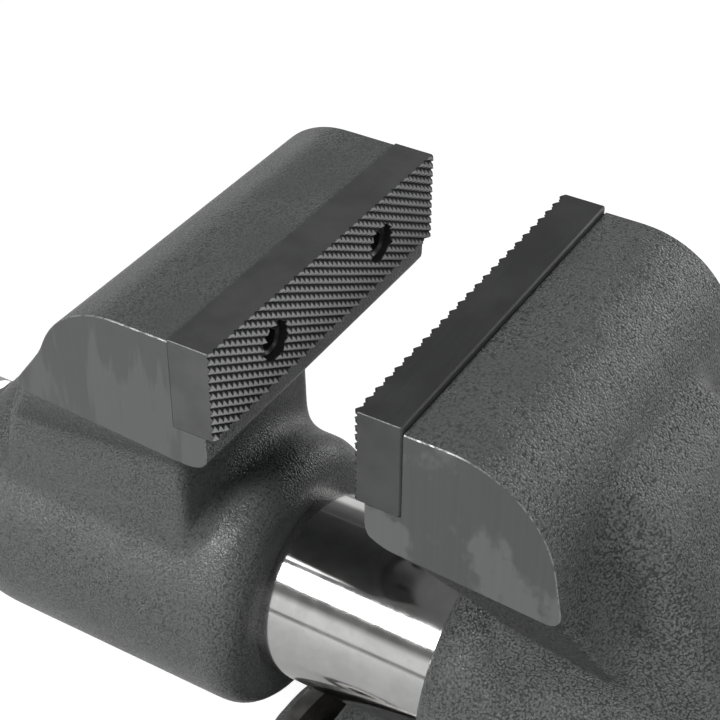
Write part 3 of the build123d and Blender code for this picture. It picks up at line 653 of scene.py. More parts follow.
def arc(centre: Range, radius: float, start: float, end: float, steps: int = 8) -> Outline:
    """Points on an arc between two angles in degrees, for a profile's rounding."""
    turns = [math.radians(start + (end - start) * step / steps) for step in range(steps + 1)]
    return [(centre[0] + radius * math.cos(turn), max(centre[1] + radius * math.sin(turn), 0.0))
            for turn in turns]


def at_point(x: float, y: float, z: float) -> Matrix:
    """A place with upright axes."""
    return Matrix.Translation((x * MM, y * MM, z * MM))


def along_x(height: float, y: float = 0.0) -> Matrix:
    """A place whose Z axis runs along +X at a height, counted from X = 0."""
    return at_point(0, y, height) @ Matrix.Rotation(math.pi / 2, 4, "Y")


def along_y(x: float, height: float) -> Matrix:
    """A place whose Z axis runs along +Y through a point of the XZ plane."""
    return at_point(x, 0, height) @ Matrix.Rotation(-math.pi / 2, 4, "X")


def shade(obj: Object, angle: float = 35) -> None:
    """Shades an object smooth but for edges sharper than an angle, in degrees."""
    mesh = obj.data
    mesh.polygons.foreach_set("use_smooth", [True] * len(mesh.polygons))
    mesh.set_sharp_from_angle(angle=math.radians(angle))


def corners_of(node: str) -> tuple[Vector, Vector]:
    """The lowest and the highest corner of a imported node, in millimetres."""
    low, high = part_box(node)
    return low / MM, high / MM


def dress(obj: Object, finishes: list[Finish],
          choose: Callable[[Vector, Vector], int] | None = None) -> None:
    """Gives an object its finishes.

    Args:
        obj: The object.
        finishes: Its finishes, the first of which covers what isn't chosen otherwise.
        choose: Picks a finish for a face from its centre in millimetres and its normal.
    """
    mesh = obj.data
    mesh.materials.clear()
    for finish in finishes:
        mesh.materials.append(finish.material())
    picked = [0] * len(mesh.polygons)
    if choose is not None:
        picked = [choose(face.center / MM, face.normal) for face in mesh.polygons]
    mesh.polygons.foreach_set("material_index", picked)


def enter(obj: Object, name: str, body: str, slot: Slot, *nodes: str) -> None:
    """Names a piece, hangs it on its body and hides the nodes that it stands for. The slot is not
    used.
    """
    obj.name = obj.data.name = name
    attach(obj, body)
    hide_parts(*nodes)
    log.info("%s: %d faces", name, len(obj.data.polygons))


def enter_plain(obj: Object, finish: Finish, name: str, body: str, slot: Slot,
                *nodes: str) -> None:
    """Shades a piece, gives it one finish and hands it to the frame."""
    shade(obj)
    dress(obj, [finish])
    enter(obj, name, body, slot, *nodes)


# Geometry Nodes


class GeometryTree(NodeTree):
    """A Geometry Nodes tree with named inputs, which ends by realizing and dressing its mesh.

    Attributes:
        group: The tree.
        identifiers: Its inputs' identifiers by name.
        start: The outputs that its inputs' values come from.
    """

    def __init__(self, name: str, inputs: dict[str, str]) -> None:
        """Starts a tree.

        Args:
            name: The tree's name.
            inputs: Socket types by input name. A Finish input is added to them.
        """
        self.group = bpy.data.node_groups.new(name, "GeometryNodeTree")
        super().__init__(self.group)
        face = self.group.interface
        face.new_socket("Geometry", in_out="INPUT", socket_type="NodeSocketGeometry")
        face.new_socket("Geometry", in_out="OUTPUT", socket_type="NodeSocketGeometry")
        self.identifiers = {}
        for label, kind in {**inputs, "Finish": "NodeSocketMaterial"}.items():
            socket = face.new_socket(label, in_out="INPUT", socket_type=kind)
            self.identifiers[label] = socket.identifier
        self.start = self.add("NodeGroupInput").outputs

    def close(self, mesh: Socket) -> None:
        """Ends the tree with real geometry in its finish."""
        real = self.add("GeometryNodeRealizeInstances", {"Geometry": mesh}).outputs[0]
        inputs = {"Geometry": real, "Material": self.start["Finish"]}
        dressed = self.add("GeometryNodeSetMaterial", inputs).outputs[0]
        self.add("NodeGroupOutput", {"Geometry": dressed})

    def apply(self, obj: Object, finish: Finish, **values: object) -> Object:
        """Runs the tree on an object and keeps the result as its plain mesh.

        Args:
            obj: The object.
            finish: The finish that the result wears.
            **values: The tree's other inputs by name.

        Returns:
            The object.
        """
        change = obj.modifiers.new(self.group.name, "NODES")
        change.node_group = self.group
        for label, value in {**values, "Finish": finish.material()}.items():
            change[self.identifiers[label]] = value
        return settle(obj)


class Patterns:
    """The Geometry Nodes trees that the pieces share.

    Attributes:
        row: Repeats a mesh along a line.
        ring: Repeats a mesh about an axis.
        skin: Rounds solids.
    """

    def __init__(self) -> None:
        """Builds the trees."""
        self.row = self.make_row()
        self.ring = self.make_ring()
        self.skin = self.make_skin()

    def make_row(self) -> GeometryTree:
        """Repeats an object's mesh along a line: Count copies from Start, each a Step on."""
        tree = GeometryTree("row_along_a_line", {
            "Count": "NodeSocketInt", "Start": "NodeSocketVector", "Step": "NodeSocketVector"})
        line = tree.add("GeometryNodeMeshLine", {
            "Count": tree.start["Count"], "Start Location": tree.start["Start"],
            "Offset": tree.start["Step"]}, mode="OFFSET")
        copies = tree.add("GeometryNodeInstanceOnPoints", {
            "Points": line.outputs[0], "Instance": tree.start["Geometry"]})
        tree.close(copies.outputs[0])
        return tree

    def make_ring(self) -> GeometryTree:
        """Repeats an object's mesh about an axis through Pivot: Count copies, the first at Turn."""
        tree = GeometryTree("ring_about_an_axis", {
            "Count": "NodeSocketInt", "Turn": "NodeSocketFloat", "Axis": "NodeSocketVector",
            "Pivot": "NodeSocketVector"})
        points = tree.add("GeometryNodePoints", {"Count": tree.start["Count"]})
        copies = tree.add("GeometryNodeInstanceOnPoints", {
            "Points": points.outputs[0], "Instance": tree.start["Geometry"]})
        step = tree.calc("DIVIDE", 2 * math.pi, tree.start["Count"])
        index = tree.add("GeometryNodeInputIndex").outputs[0]
        angle = tree.calc("MULTIPLY_ADD", index, step, tree.start["Turn"])
        turn = tree.vector("SCALE", {0: tree.start["Axis"], "Scale": angle})[0]
        turned_copies = tree.add("GeometryNodeRotateInstances", {
            "Instances": copies.outputs[0], "Rotation": turn,
            "Pivot Point": tree.start["Pivot"], "Local Space": False})
        tree.close(turned_copies.outputs[0])
        return tree

    def make_skin(self) -> GeometryTree:
        """Rounds closed solids as a foundry does: coves of radius Cove, edges of radius Edge."""
        tree = GeometryTree("foundry_skin", {
            "Voxel": "NodeSocketFloat", "Band": "NodeSocketInt", "Cove": "NodeSocketFloat",
            "Edge": "NodeSocketFloat"})
        cove, edge = tree.start["Cove"], tree.start["Edge"]
        inward = tree.calc("MULTIPLY", tree.calc("ADD", cove, edge), -1.0)
        mesh = tree.start["Geometry"]
        for reach in (cove, inward, edge):
            grid = tree.add("GeometryNodeMeshToSDFGrid", {
                "Mesh": mesh, "Voxel Size": tree.start["Voxel"], "Band Width": tree.start["Band"]})
            mesh = tree.add("GeometryNodeGridToMesh", {
                "Grid": grid.outputs[0], "Threshold": reach}).outputs[0]
        tree.close(mesh)
        return tree


# Castings


@dataclass
class Layout:
    """Places that the parts share, read from the frame's boxes, in millimetres.

    Attributes:
        half_width: Half the jaws' width.
        jaw_top: Height of the inserts' tops.
        ledge: Height of the ledges that they sit on.
        axis: Height of the bar's and the spindle's axis.
        bar_radius: Radius of the slide bar.
        front_grip: X of the front insert's grip plane, and front_seat of its back.
        rear_grip: X of the rear insert's grip plane, and rear_seat of its back.
        bar_start: X of the bar's front end, and bar_end of its rear end.
        nose_face: X of the front casting's front end.
        thrust_face: X of the face that the spindle's head bears on.
        head_start: X of the spindle's front end.
        base_top: Height of the swivel base.
        lock_circle: Radius that the lock bolts stand on.
        barrel_end: X of the rear casting's closed end.
    """

    half_width: float
    jaw_top: float
    ledge: float
    axis: float
    bar_radius: float
    front_grip: float
    front_seat: float
    rear_grip: float
    rear_seat: float
    bar_start: float
    bar_end: float
    nose_face: float
    thrust_face: float
    head_start: float
    base_top: float
    lock_circle: float
    barrel_end: float

    @classmethod
    def read(cls) -> Layout:
        """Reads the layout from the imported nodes."""
        front, rear, bar = (corners_of(n) for n in ("front_insert", "rear_insert", "slide_bar"))
        bolt = corners_of("lock_bolt_far")
        return cls(
            half_width=front[1].y, jaw_top=front[1].z, ledge=front[0].z,
            axis=(bar[0].z + bar[1].z) / 2, bar_radius=(bar[1].y - bar[0].y) / 2,
            front_grip=front[1].x, front_seat=front[0].x,
            rear_grip=rear[0].x, rear_seat=rear[1].x,
            bar_start=bar[0].x, bar_end=bar[1].x,
            nose_face=corners_of("front_casting")[0].x,
            thrust_face=corners_of("thrust_washer_outer")[0].x,
            head_start=corners_of("spindle")[0].x,
            base_top=corners_of("swivel_base")[1].z,
            lock_circle=(bolt[0].y + bolt[1].y) / 2,
            barrel_end=corners_of("rear_casting")[1].x,
        )


@dataclass
class Part:
    """A part of the vise, which makes one piece or more.

    Attributes:
        layout: The shared places.
        patterns: The shared trees.
    """

    layout: Layout
    patterns: Patterns

    def build(self) -> None:
        """Makes the part's pieces, dresses them and hands them over."""
        raise NotImplementedError


@dataclass
class CastingSkin:
    """A casting's skin: its CAD solid rounded as by sand and paint, with machined faces cut true.

    Attributes:
        node: The CAD node that the skin stands for.
        patterns: The shared trees.
        stock: Helper solids that fill machined places before the rounding.
        cuts: Helper solids that cut those places true again.
        adds: Helper solids that are added last.
        voxel: Size of the skin's mesh.
        cove: Radius of its inner corners.
        edge: Radius of its outer edges.
        mill: Half width of the milled ends, or 0 for none.
        mill_stock: How far the ends reach out before they are milled.
        mill_chamfer: Broken edge of a milled end.
        merge: Distance within which the solid's vertices are one, in metres.
    """

    node: str
    patterns: Patterns
    stock: list[Object] = field(default_factory=list)
    cuts: list[Object] = field(default_factory=list)
    adds: list[Object] = field(default_factory=list)
    voxel: float = 1.4
    cove: float = 6.5
    edge: float = 2.0
    mill: float = 0.0
    mill_stock: float = 8.0
    mill_chamfer: float = 0.3
    merge: float = 2e-6

    def build(self) -> Object:
        """Makes the skin.

        Returns:
            The piece, which isn't yet dressed.
        """
        skin = joined("skin", [self.solid(), *self.stock])
        voxel = self.voxel * 1
        reach = self.cove + self.edge
        self.patterns.skin.apply(
            skin, ENAMEL_REAR, Voxel=voxel * MM, Band=math.ceil(reach / voxel) + 2,
            Cove=self.cove * MM, Edge=self.edge * MM)
        if self.mill:
            self.mill_ends(skin)
        cut(skin, self.cuts)
        cut(skin, self.adds, Change.ADD)
        shade(skin)
        return skin

    def solid(self) -> Object:
        """Copies the CAD solid, its ends drawn out by the stock that milling takes off."""
        bm = bmesh.new()
        bm.from_mesh(bpy.data.objects[self.node].data)
        bmesh.ops.remove_doubles(bm, verts=bm.verts, dist=self.merge)
        for side in (-1, 1) if self.mill else ():
            bm.normal_update()
            ends = [face for face in bm.faces if face.normal.y * side > FACING
                    and abs(face.calc_center_median().y * side / MM - self.mill) < ON_FACE]
            drawn = bmesh.ops.extrude_face_region(bm, geom=ends)["geom"]
            moving = [part for part in drawn if isinstance(part, bmesh.types.BMVert)]
            bmesh.ops.translate(bm, verts=moving, vec=(0, side * self.mill_stock * MM, 0))
            bmesh.ops.delete(bm, geom=ends, context="FACES")
        return mesh_object(self.node + "_solid", bm)

    def mill_ends(self, skin: Object) -> None:
        """Cuts both ends to width, with a small chamfer along their rims."""
        bm = bmesh.new()
        bm.from_mesh(skin.data)
        for side in (-1, 1):
            whole = bm.verts[:] + bm.edges[:] + bm.faces[:]
            plane = side * (self.mill - self.mill_chamfer) * MM
            bmesh.ops.bisect_plane(bm, geom=whole, dist=1e-7, plane_co=(0, plane, 0),
                                   plane_no=(0, side, 0), clear_outer=True)
            bm.normal_update()
            rim = [part for part in bm.edges if part.is_boundary]
            inward = {}
            for vert in {vert for part in rim for vert in part.verts}:
                level = Vector((vert.normal.x, 0, vert.normal.z))
                inward[vert.co.copy().freeze()] = -level.normalized() * self.mill_chamfer * MM
            drawn = bmesh.ops.extrude_edge_only(bm, edges=rim)["geom"]
            for vert in (part for part in drawn if isinstance(part, bmesh.types.BMVert)):
                vert.co += inward[vert.co.copy().freeze()]
                vert.co.y = side * self.mill * MM
            edges = [part for part in drawn
                     if isinstance(part, bmesh.types.BMEdge) and part.is_boundary]
            bmesh.ops.holes_fill(bm, edges=edges, sides=0)
        bmesh.ops.recalc_face_normals(bm, faces=bm.faces)
        bm.to_mesh(skin.data)
        bm.free()


@dataclass(frozen=True)
class FaceKind:
    """Picks a casting's finish for a face: 0 for rough, 1 for milled and 2 for a worn edge with a
    painted highlight.

    Attributes:
        half_width: Half width of the milled ends.
        chamfer: Their chamfer.
        tilt: How far a worn edge's normal leans to the side at least.
        under: How far it may point down; edges turned further down get no painted highlight.
    """

    half_width: float
    chamfer: float
    tilt: float = 0.3
    under: float = -0.35

    def __call__(self, centre: Vector, normal: Vector) -> int:
        """Picks the finish's number from a face's centre and its normal."""
        out, side = abs(centre.y), abs(normal.y)
        if out > self.half_width - ON_FACE and side > FACING:
            return 1
        # Chamfers that don't point down get the lighter edge finish: wear and a painted highlight.
        if out > self.half_width - self.chamfer and side > self.tilt and normal.z > self.under:
            return 2
        return 0


@dataclass
class JawCasting(Part):
    """A jaw's casting, of which this has what both castings share.

    Attributes:
        ring_setback: From the grip plane to the ring face round the bar.
        toe_setback: From the grip plane to the toe under the insert.
        crown_drop: How far the casting's top lies below the insert's.
        seam: Radius of the seam behind the insert.
        overlap: How far helper solids reach into the casting that they fill.
    """

    ring_setback: float = 10.0
    toe_setback: float = 3.8
    crown_drop: float = 0.6
    seam: float = 0.2
    overlap: float = 8.0

    def insert_stock(self, grip: float, seat: float) -> Object:
        """A helper solid that fills the insert's place between its grip plane and its back."""
        at, away = self.layout, math.copysign(1, seat - grip)
        wide = at.half_width + CastingSkin.mill_stock
        ends = sorted((grip + away * self.toe_setback, seat + away * self.overlap))
        return block((ends[0], -wide, at.ledge - 3), (ends[1], wide, at.jaw_top - self.crown_drop))

    def insert_cuts(self, grip: float, seat: float) -> list[Object]:
        """Helper solids that cut the insert's place and the seam along its back."""
        at, away = self.layout, math.copysign(1, seat - grip)
        wide = at.half_width + CastingSkin.mill_stock
        ends = sorted((grip - away * OPEN, seat))
        return [
            block((ends[0], -2 * wide, at.ledge), (ends[1], 2 * wide, at.jaw_top + OPEN)),
            rod(self.seam, -wide, wide, along_y(seat, at.jaw_top - self.crown_drop), 24),
        ]


@dataclass
class FrontJaw(JawCasting):
    """The moving jaw's casting.

    Attributes:
        bore: Radius of the bore behind the bar.
        nose_wall: Thickness of the wall that the spindle turns in.
        spindle_hole: Radius of the hole in it.
        dowel_fill: Radius of the stock round the bar's dowel.
        dowel_reach: How far it reaches down from the axis, and where it starts below it.
        dowel_start: Height from which the dowel's hole is cut.
    """

    bore: float = 25.0
    nose_wall: float = 28.0
    spindle_hole: float = 12.75
    dowel_fill: float = 6.0
    dowel_reach: Range = (48.0, 20.0)
    dowel_start: float = 40.0

    def build(self) -> None:
        """Makes the casting, dresses it and hands it over."""
        at = self.layout
        along = along_x(at.axis)
        ring = at.front_grip - self.ring_setback
        wall = at.nose_face + self.nose_wall
        dowel = corners_of("bar_dowel")
        dowel_axis = at_point((dowel[0].x + dowel[1].x) / 2, 0, 0)
        deep, shallow = self.dowel_reach
        stock = [
            self.insert_stock(at.front_grip, at.front_seat),
            rod(at.bar_radius + 1, ring, at.bar_start - 4, along),
            rod(self.bore + 1, at.bar_start, at.nose_face, along),
            rod(self.dowel_fill, at.axis - deep, at.axis - shallow, dowel_axis),
        ]
        cuts = [
            *self.insert_cuts(at.front_grip, at.front_seat),
            rod(at.bar_radius, ring + OPEN, at.bar_start, along, 192),
            rod(self.bore, at.bar_start + 1, wall, along),
            rod(self.spindle_hole, wall + 1, at.nose_face - OPEN, along),
            rod((dowel[1].y - dowel[0].y) / 2, self.dowel_start, at.axis, dowel_axis, 32),
        ]
        skin = CastingSkin("front_casting", self.patterns, stock, cuts, mill=at.half_width)
        piece = skin.build()
        kind = FaceKind(at.half_width, skin.mill_chamfer)
        dress(piece, [ENAMEL_FRONT, ENAMEL_PLANED, ENAMEL_EDGE], kind)
        enter(piece, "front_casting_skin", "moving", Slot.CASTING, "front_casting")


@dataclass
class RearJaw(JawCasting):
    """The fixed jaw's casting, with the closed barrel and the turntable flange.

    Attributes:
        bearing_end: Where the bar's bearing ends.
        wall: Thickness of the barrel and of its closed end.
        barrel_radius: Radius of the barrel.
        cap_seat: Depth of the end cap's seat.
        end_fill: Radius of the stock in the middle of the closed end.
        end_seam: Radius of the seam beside the insert, on the milled ends.
        pivot_radius: Radius of the swivel's pivot.
        pivot_bottom: Height of the pivot's lower end.
        access: Radius of the hole up through the pivot.
        access_top: Where that hole ends.
        key_screw: Radius of the guide key's screw hole above it.
        nut_bolt: Radius of the nut bolt's hole in the closed end.
        lock_bolt: Radius of a lock bolt's hole.
        boss: Radius and height of the boss round it.
        turntable: Radius of the stock under the flange.
        below: Half width and height of the cutter that planes the flange.
        lift: How far the flange stands over the base.
        clearance: Play of the bar in its bearing.
    """

    crown_drop: float = 2.0
    seam: float = 0.45
    bearing_end: float = 90.0
    wall: float = 12.0
    barrel_radius: float = 57.0
    cap_seat: float = 4.0
    end_fill: float = 30.0
    end_seam: float = 0.65
    pivot_radius: float = 22.0
    pivot_bottom: float = 16.0
    access: float = 9.0
    access_top: float = 68.0
    key_screw: float = 3.3
    nut_bolt: float = 8.3
    lock_bolt: float = 6.3
    boss: Range = (17.0, 15.2)
    turntable: float = 74.0
    below: Range = (130.0, -20.0)
    lift: float = 0.2
    clearance: float = 0.05

    def stock(self) -> list[Object]:
        """Helper solids that fill the machined places before the rounding."""
        at = self.layout
        along, upright = along_x(at.axis), at_point(0, 0, 0)
        inner = at.barrel_end - self.wall
        radius, height = self.boss
        bosses = [rod(radius, at.base_top - 6, at.base_top + height, at_point(
            0, side * at.lock_circle, 0)) for side in (-1, 1)]
        return [
            self.insert_stock(at.rear_grip, at.rear_seat),
            rod(at.bar_radius + 5, at.rear_grip + self.ring_setback, self.bearing_end + 4, along),
            rod(self.barrel_radius - self.wall + 1, self.bearing_end, inner + 4, along),
            rod(self.end_fill, inner, at.barrel_end, along),
            rod(self.access + 3, self.pivot_bottom, at.axis, upright),
            rod(self.turntable, at.base_top - 6, at.base_top + 2, upright),
            *bosses,
        ]

    def cuts(self) -> list[Object]:
        """Helper solids that cut the machined places true."""
        at = self.layout
        along, upright = along_x(at.axis), at_point(0, 0, 0)
        ring = at.rear_grip + self.ring_setback
        inner = at.barrel_end - self.wall
        wiper, cap, key = (corners_of(n) for n in ("bar_wiper", "rear_cap", "guide_key"))
        flange = at.base_top + self.lift
        wide, deep = self.below
        tools = [
            *self.insert_cuts(at.rear_grip, at.rear_seat),
            rod(at.bar_radius + self.clearance, ring - OPEN, self.bearing_end + 1, along, 192),
            rod(self.barrel_radius - self.wall, self.bearing_end, inner, along),
            rod(wiper[1].y, ring - OPEN, wiper[1].x, along, 192),
            rod(self.nut_bolt, inner - 1, at.barrel_end + OPEN, along),
            rod(cap[1].y, at.barrel_end - self.cap_seat, at.barrel_end + OPEN, along),
            block(tuple(key[0]), (key[1].x, key[1].y, key[1].z + 1)),
            block((-wide, -wide, deep), (wide, wide, flange)),
            rod(self.access, 0, self.access_top, upright),
            rod(self.key_screw, self.access_top - 1, key[0].z + 1, upright, 32),
        ]
        for side in (-1, 1):
            tools.append(rod(self.lock_bolt, flange - OPEN, flange + 30, at_point(
                0, side * at.lock_circle, 0), 48))
            tools.append(rod(self.end_seam, at.ledge, at.jaw_top, at_point(
                at.rear_seat, side * at.half_width, 0), 24))
        return tools

    def build(self) -> None:
        """Makes the casting, dresses it and hands it over."""
        at = self.layout
        radius, bottom, top = self.pivot_radius, self.pivot_bottom, at.base_top + 3
        pivot = turned([(bottom, self.access), (bottom, radius - 1), (bottom + 1, radius),
                        (top, radius), (top, self.access)], at_point(0, 0, 0))
        skin = CastingSkin("rear_casting", self.patterns, self.stock(), self.cuts(), [pivot],
                           mill=at.half_width, voxel=1.5)
        piece = skin.build()
        kind = FaceKind(at.half_width, skin.mill_chamfer)

        def choose(centre: Vector, normal: Vector) -> int:
            """Picks bored iron for the bearing and the pivot, and darker enamel as painted shade
            under the jaw.
            """
            out = math.hypot(centre.y, centre.z - at.axis)
            if centre.z < at.base_top + 0.3 or (out < at.bar_radius + 0.3 and centre.z < at.ledge):
                return 3
            # Faces that point down above the bar get the darker enamel: painted shade under the
            # jaw.
            if normal.z < -0.4 and centre.z > at.axis + at.bar_radius:
                return 4
            return kind(centre, normal)

        dress(piece, [ENAMEL_REAR, ENAMEL_MILLED, ENAMEL_EDGE, IRON_BORED, ENAMEL_UNDER_SHADE], choose)
        enter(piece, "rear_casting_skin", "fixed", Slot.CASTING, "rear_casting")


@dataclass
class SwivelBase(Part):
    """The base: disc, ring T-slot, pivot bore, bench lugs and a machined top.

    Attributes:
        slot: Half width of the slot.
        lip: Thickness over the slot's pocket.
        pocket: Half width of the pocket.
        pocket_height: Height of the pocket.
        entry: Radius of the hole where the bolts' heads go in.
        bore: Radius of the pivot's bore.
        bolt_circle: Radius that the bench bolts stand on.
        bolt_hole: Radius of their holes.
        lug_height: Height of a bench lug.
        lug_start: Radius from where out the lugs stand alone.
        spot: Radius and depth of the spot face on a lug.
    """

    slot: float = 6.8
    lip: float = 13.0
    pocket: float = 12.5
    pocket_height: float = 11.0
    entry: float = 13.0
    bore: float = 22.05
    bolt_circle: float = 118.0
    bolt_hole: float = 7.1
    lug_height: float = 18.0
    lug_start: float = 105.0
    spot: Range = (12.5, 0.6)

    def groove(self, half: float, low: float, high: float) -> Object:
        """A ring on the lock bolts' circle."""
        circle = self.layout.lock_circle
        return turned([(low, circle - half), (low, circle + half), (high, circle + half),
                       (high, circle - half)], at_point(0, 0, 0), 192)

    def at_lugs(self, obj: Object) -> Object:
        """Repeats a helper solid at the four lugs."""
        return self.patterns.ring.apply(
            obj, IRON_OILED, Count=4, Turn=math.pi / 4, Axis=(0, 0, 1), Pivot=(0, 0, 0))

    def build(self) -> None:
        """Makes the base, dresses it and hands it over."""
        top = self.layout.base_top
        under = top - self.lip
        floor = under - self.pocket_height
        here, lug = at_point(0, 0, 0), at_point(self.bolt_circle, 0, 0)
        radius, depth = self.spot
        spot = self.lug_height - depth
        stock = [
            self.groove(self.pocket + 1, floor - 1, top),
            rod(self.bore + 2, 0, top, here),
            self.at_lugs(rod(self.bolt_hole + 1, 0, self.lug_height, lug)),
        ]
        cuts = [
            self.groove(self.slot, under - 1, top + OPEN),
            self.groove(self.pocket, floor, under),
            rod(self.entry, under - 1, top + OPEN, at_point(self.layout.lock_circle, 0, 0)),
            rod(self.bore, -OPEN, top + OPEN, here),
            self.at_lugs(turned([
                (-2, 0), (-2, self.bolt_hole), (spot, self.bolt_hole), (spot, radius),
                (self.lug_height + OPEN, radius), (self.lug_height + OPEN, 0)], lug, 48)),
        ]
        piece = CastingSkin("swivel_base", self.patterns, stock, cuts, cove=5.0, edge=1.6).build()
        inner, outer = (self.layout.lock_circle + side * (self.pocket + 0.5) for side in (-1, 1))

        def choose(centre: Vector, normal: Vector) -> int:
            """Picks machined iron for the top, the slot, the bore and the spot faces."""
            out = math.hypot(centre.x, centre.y)
            flat = abs(normal.z) > LEVEL
            in_slot = inner < out < outer and centre.z > floor - 0.5
            on_top = flat and centre.z > top - 0.05
            on_spot = flat and normal.z > 0 and out > self.lug_start and centre.z < spot + 0.1
            return int(in_slot or on_top or on_spot or out < self.bore + 0.2)

        dress(piece, [ENAMEL_REAR, IRON_OILED], choose)
        enter(piece, "swivel_base_skin", "base", Slot.CASTING, "swivel_base")


# Inserts and screws


@dataclass
class JawInsert(Part):
    """A toothed insert and its two cap screws, drawn behind a grip plane at X = 0.

    Attributes:
        jaw: "front" or "rear", as in the nodes' names.
        body: The body that it rides.
        grip: X of its grip plane.
        seat: X of its seat.
        tooth_depth: Depth of the tooth grooves.
        pitch: Distance between grooves of one direction.
        lean: Angle of the grooves to the horizontal, in degrees, either way.
        groove: Width of a groove at the tips, which leaves the worn flats.
        edge: Chamfer along its back.
        break_edge: Chamfer along its other edges.
        screw_spacing: Distance between the screws.
        screw_drop: Distance of the screws below the top.
        counterbore: Radius and depth of a counterbore.
        hole: Radius of a screw's hole.
        head: Radius and height of a screw's head.
        socket: Width of its hexagon.
        socket_turn: Turn of the hexagon, in radians.
        mouth: Radius that the countersink round the hexagon is drawn from.
        shank: Radius and length of a screw's shank.
        finish: The insert's finish.
        teeth: The finish of the worn tips and of the flanks that face one way, which are lighter
            than the others as painted light.
        oxide_and_shade: The dark finish of the flanks that face the other way and of the
            counterbores: painted shade.
    """

    jaw: str
    body: str
    grip: float
    seat: float
    tooth_depth: float = 1.6
    pitch: float = 2.58
    lean: float = 30.0
    groove: float = 2.46
    edge: float = 0.5
    break_edge: float = 0.2
    screw_spacing: float = 61.0
    screw_drop: float = 16.0
    counterbore: Range = (6.5, 10.65)
    hole: float = 4.3
    head: Range = (5.95, 7.9)
    socket: float = 6.4
    socket_turn: float = 0.3
    mouth: float = 4.5
    shank: Range = (4.0, 22.0)
    finish: Finish = INSERT_OXIDE
    teeth: Finish = TEETH_FRONT
    oxide_and_shade: Finish = TEETH_PAINTED_SHADE

    def place(self) -> Matrix:
        """Where the drawing stands: the front insert is turned to face the rear one."""
        turn = 0 if self.seat > self.grip else math.pi
        return at_point(self.grip, 0, self.layout.jaw_top) @ Matrix.Rotation(turn, 4, "Z")

    def blank(self) -> Object:
        """The insert before its teeth are cut, with its edges broken."""
        at = self.layout
        thick = abs(self.seat - self.grip)
        obj = block((0, -at.half_width, at.ledge - at.jaw_top), (thick, at.half_width, 0))
        bm = bmesh.new()
        bm.from_mesh(obj.data)
        for back, size in ((True, self.edge), (False, self.break_edge)):
            chosen = [part for part in bm.edges
                      if all(vert.co.x > (thick - 0.1) * MM for vert in part.verts) == back
                      and (back or abs(part.verts[0].co.x - part.verts[1].co.x) > MM)]
            bmesh.ops.bevel(bm, geom=chosen, offset=size * MM, segments=1, affect="EDGES")
        bm.to_mesh(obj.data)
        bm.free()
        return obj

    def comb(self, lean: float) -> Object:
        """The V grooves that lean at an angle in radians, as cutters."""
        at = self.layout
        half = self.groove / 2
        reach = at.half_width + 12
        groove = prism([(-2, -half), (0, -half), (self.tooth_depth, 0), (0, half), (-2, half)],
                       -reach, reach)
        height = at.jaw_top - at.ledge
        side = math.ceil((at.half_width * math.sin(abs(lean)) + height / 2) / self.pitch)
        comb = self.patterns.row.apply(
            groove, self.teeth, Count=2 * side, Start=(0, 0, -(side - 0.5) * self.pitch * MM),
            Step=(0, 0, self.pitch * MM))
        return moved(comb, at_point(0, 0, -height / 2) @ Matrix.Rotation(lean, 4, "X"))

    def screw_place(self) -> Matrix:
        """The first screw's axis, from the grip plane inward."""
        return along_x(-self.screw_drop, -self.screw_spacing / 2)

    def pair(self, obj: Object, finish: Finish) -> Object:
        """Repeats the first screw's mesh at the second screw's place."""
        return self.patterns.row.apply(
            obj, finish, Count=2, Start=(0, 0, 0), Step=(0, self.screw_spacing * MM, 0))

    def bores(self) -> Object:
        """Cutters for the two counterbored holes."""
        radius, depth = self.counterbore
        cutter = turned([(-5, 0), (-5, radius), (depth, radius), (depth, self.hole),
                         (20, self.hole), (20, 0)], self.screw_place(), 64)
        return self.pair(cutter, self.finish)

    def screws(self) -> Object:
        """The two cap screws with their hexagon sockets."""
        head, tall = self.head
        shank, length = self.shank
        place = self.screw_place() @ at_point(0, 0, self.counterbore[1])
        screw = turned([
            (-tall, 0), (-tall, head - 0.9), (-tall + 0.25, head - 0.4), (-tall + 0.8, head),
            (-0.3, head), (0, head - 0.3), (0, shank), (length - 1, shank), (length, shank - 1),
            (length, 0)], place, 64)
        across = self.socket / 2 / math.cos(math.pi / 6)
        hexagon = turned([(-tall - 2, 0), (-tall - 2, across), (-tall * 0.4, across),
                          (-tall * 0.4, 0)], place @ Matrix.Rotation(self.socket_turn, 4, "Z"), 6)
        mouth = turned([(-tall - 1, 0), (-tall - 1, self.mouth + 1.4), (-tall + 0.7, across),
                        (-tall + 0.7, 0)], place, 64)
        return self.pair(cut(screw, [hexagon, mouth]), SCREW_BLACK)

    def choose(self, centre: Vector, normal: Vector) -> int:
        """Picks a finish: 1 for worn tips and one facing's flanks, 2 for painted shade on the rest
        and the counterbores.
        """
        # Tooth flanks are split by which way they face: the lighter finish on one side and the dark
        # one on the other paint light and shade.
        if centre.x < self.tooth_depth + 0.1 and 0.3 < abs(normal.x) < 0.95:
            return 1 if normal.y * normal.z > 0 else 2
        off = math.hypot(abs(centre.y) - self.screw_spacing / 2, centre.z + self.screw_drop)
        # Counterbore walls get the dark finish: painted shade in the recess.
        if abs(normal.x) < 0.1 and off < self.counterbore[0] + 0.1:
            return 2
        return int(centre.x < ON_FACE and normal.x < -FACING)

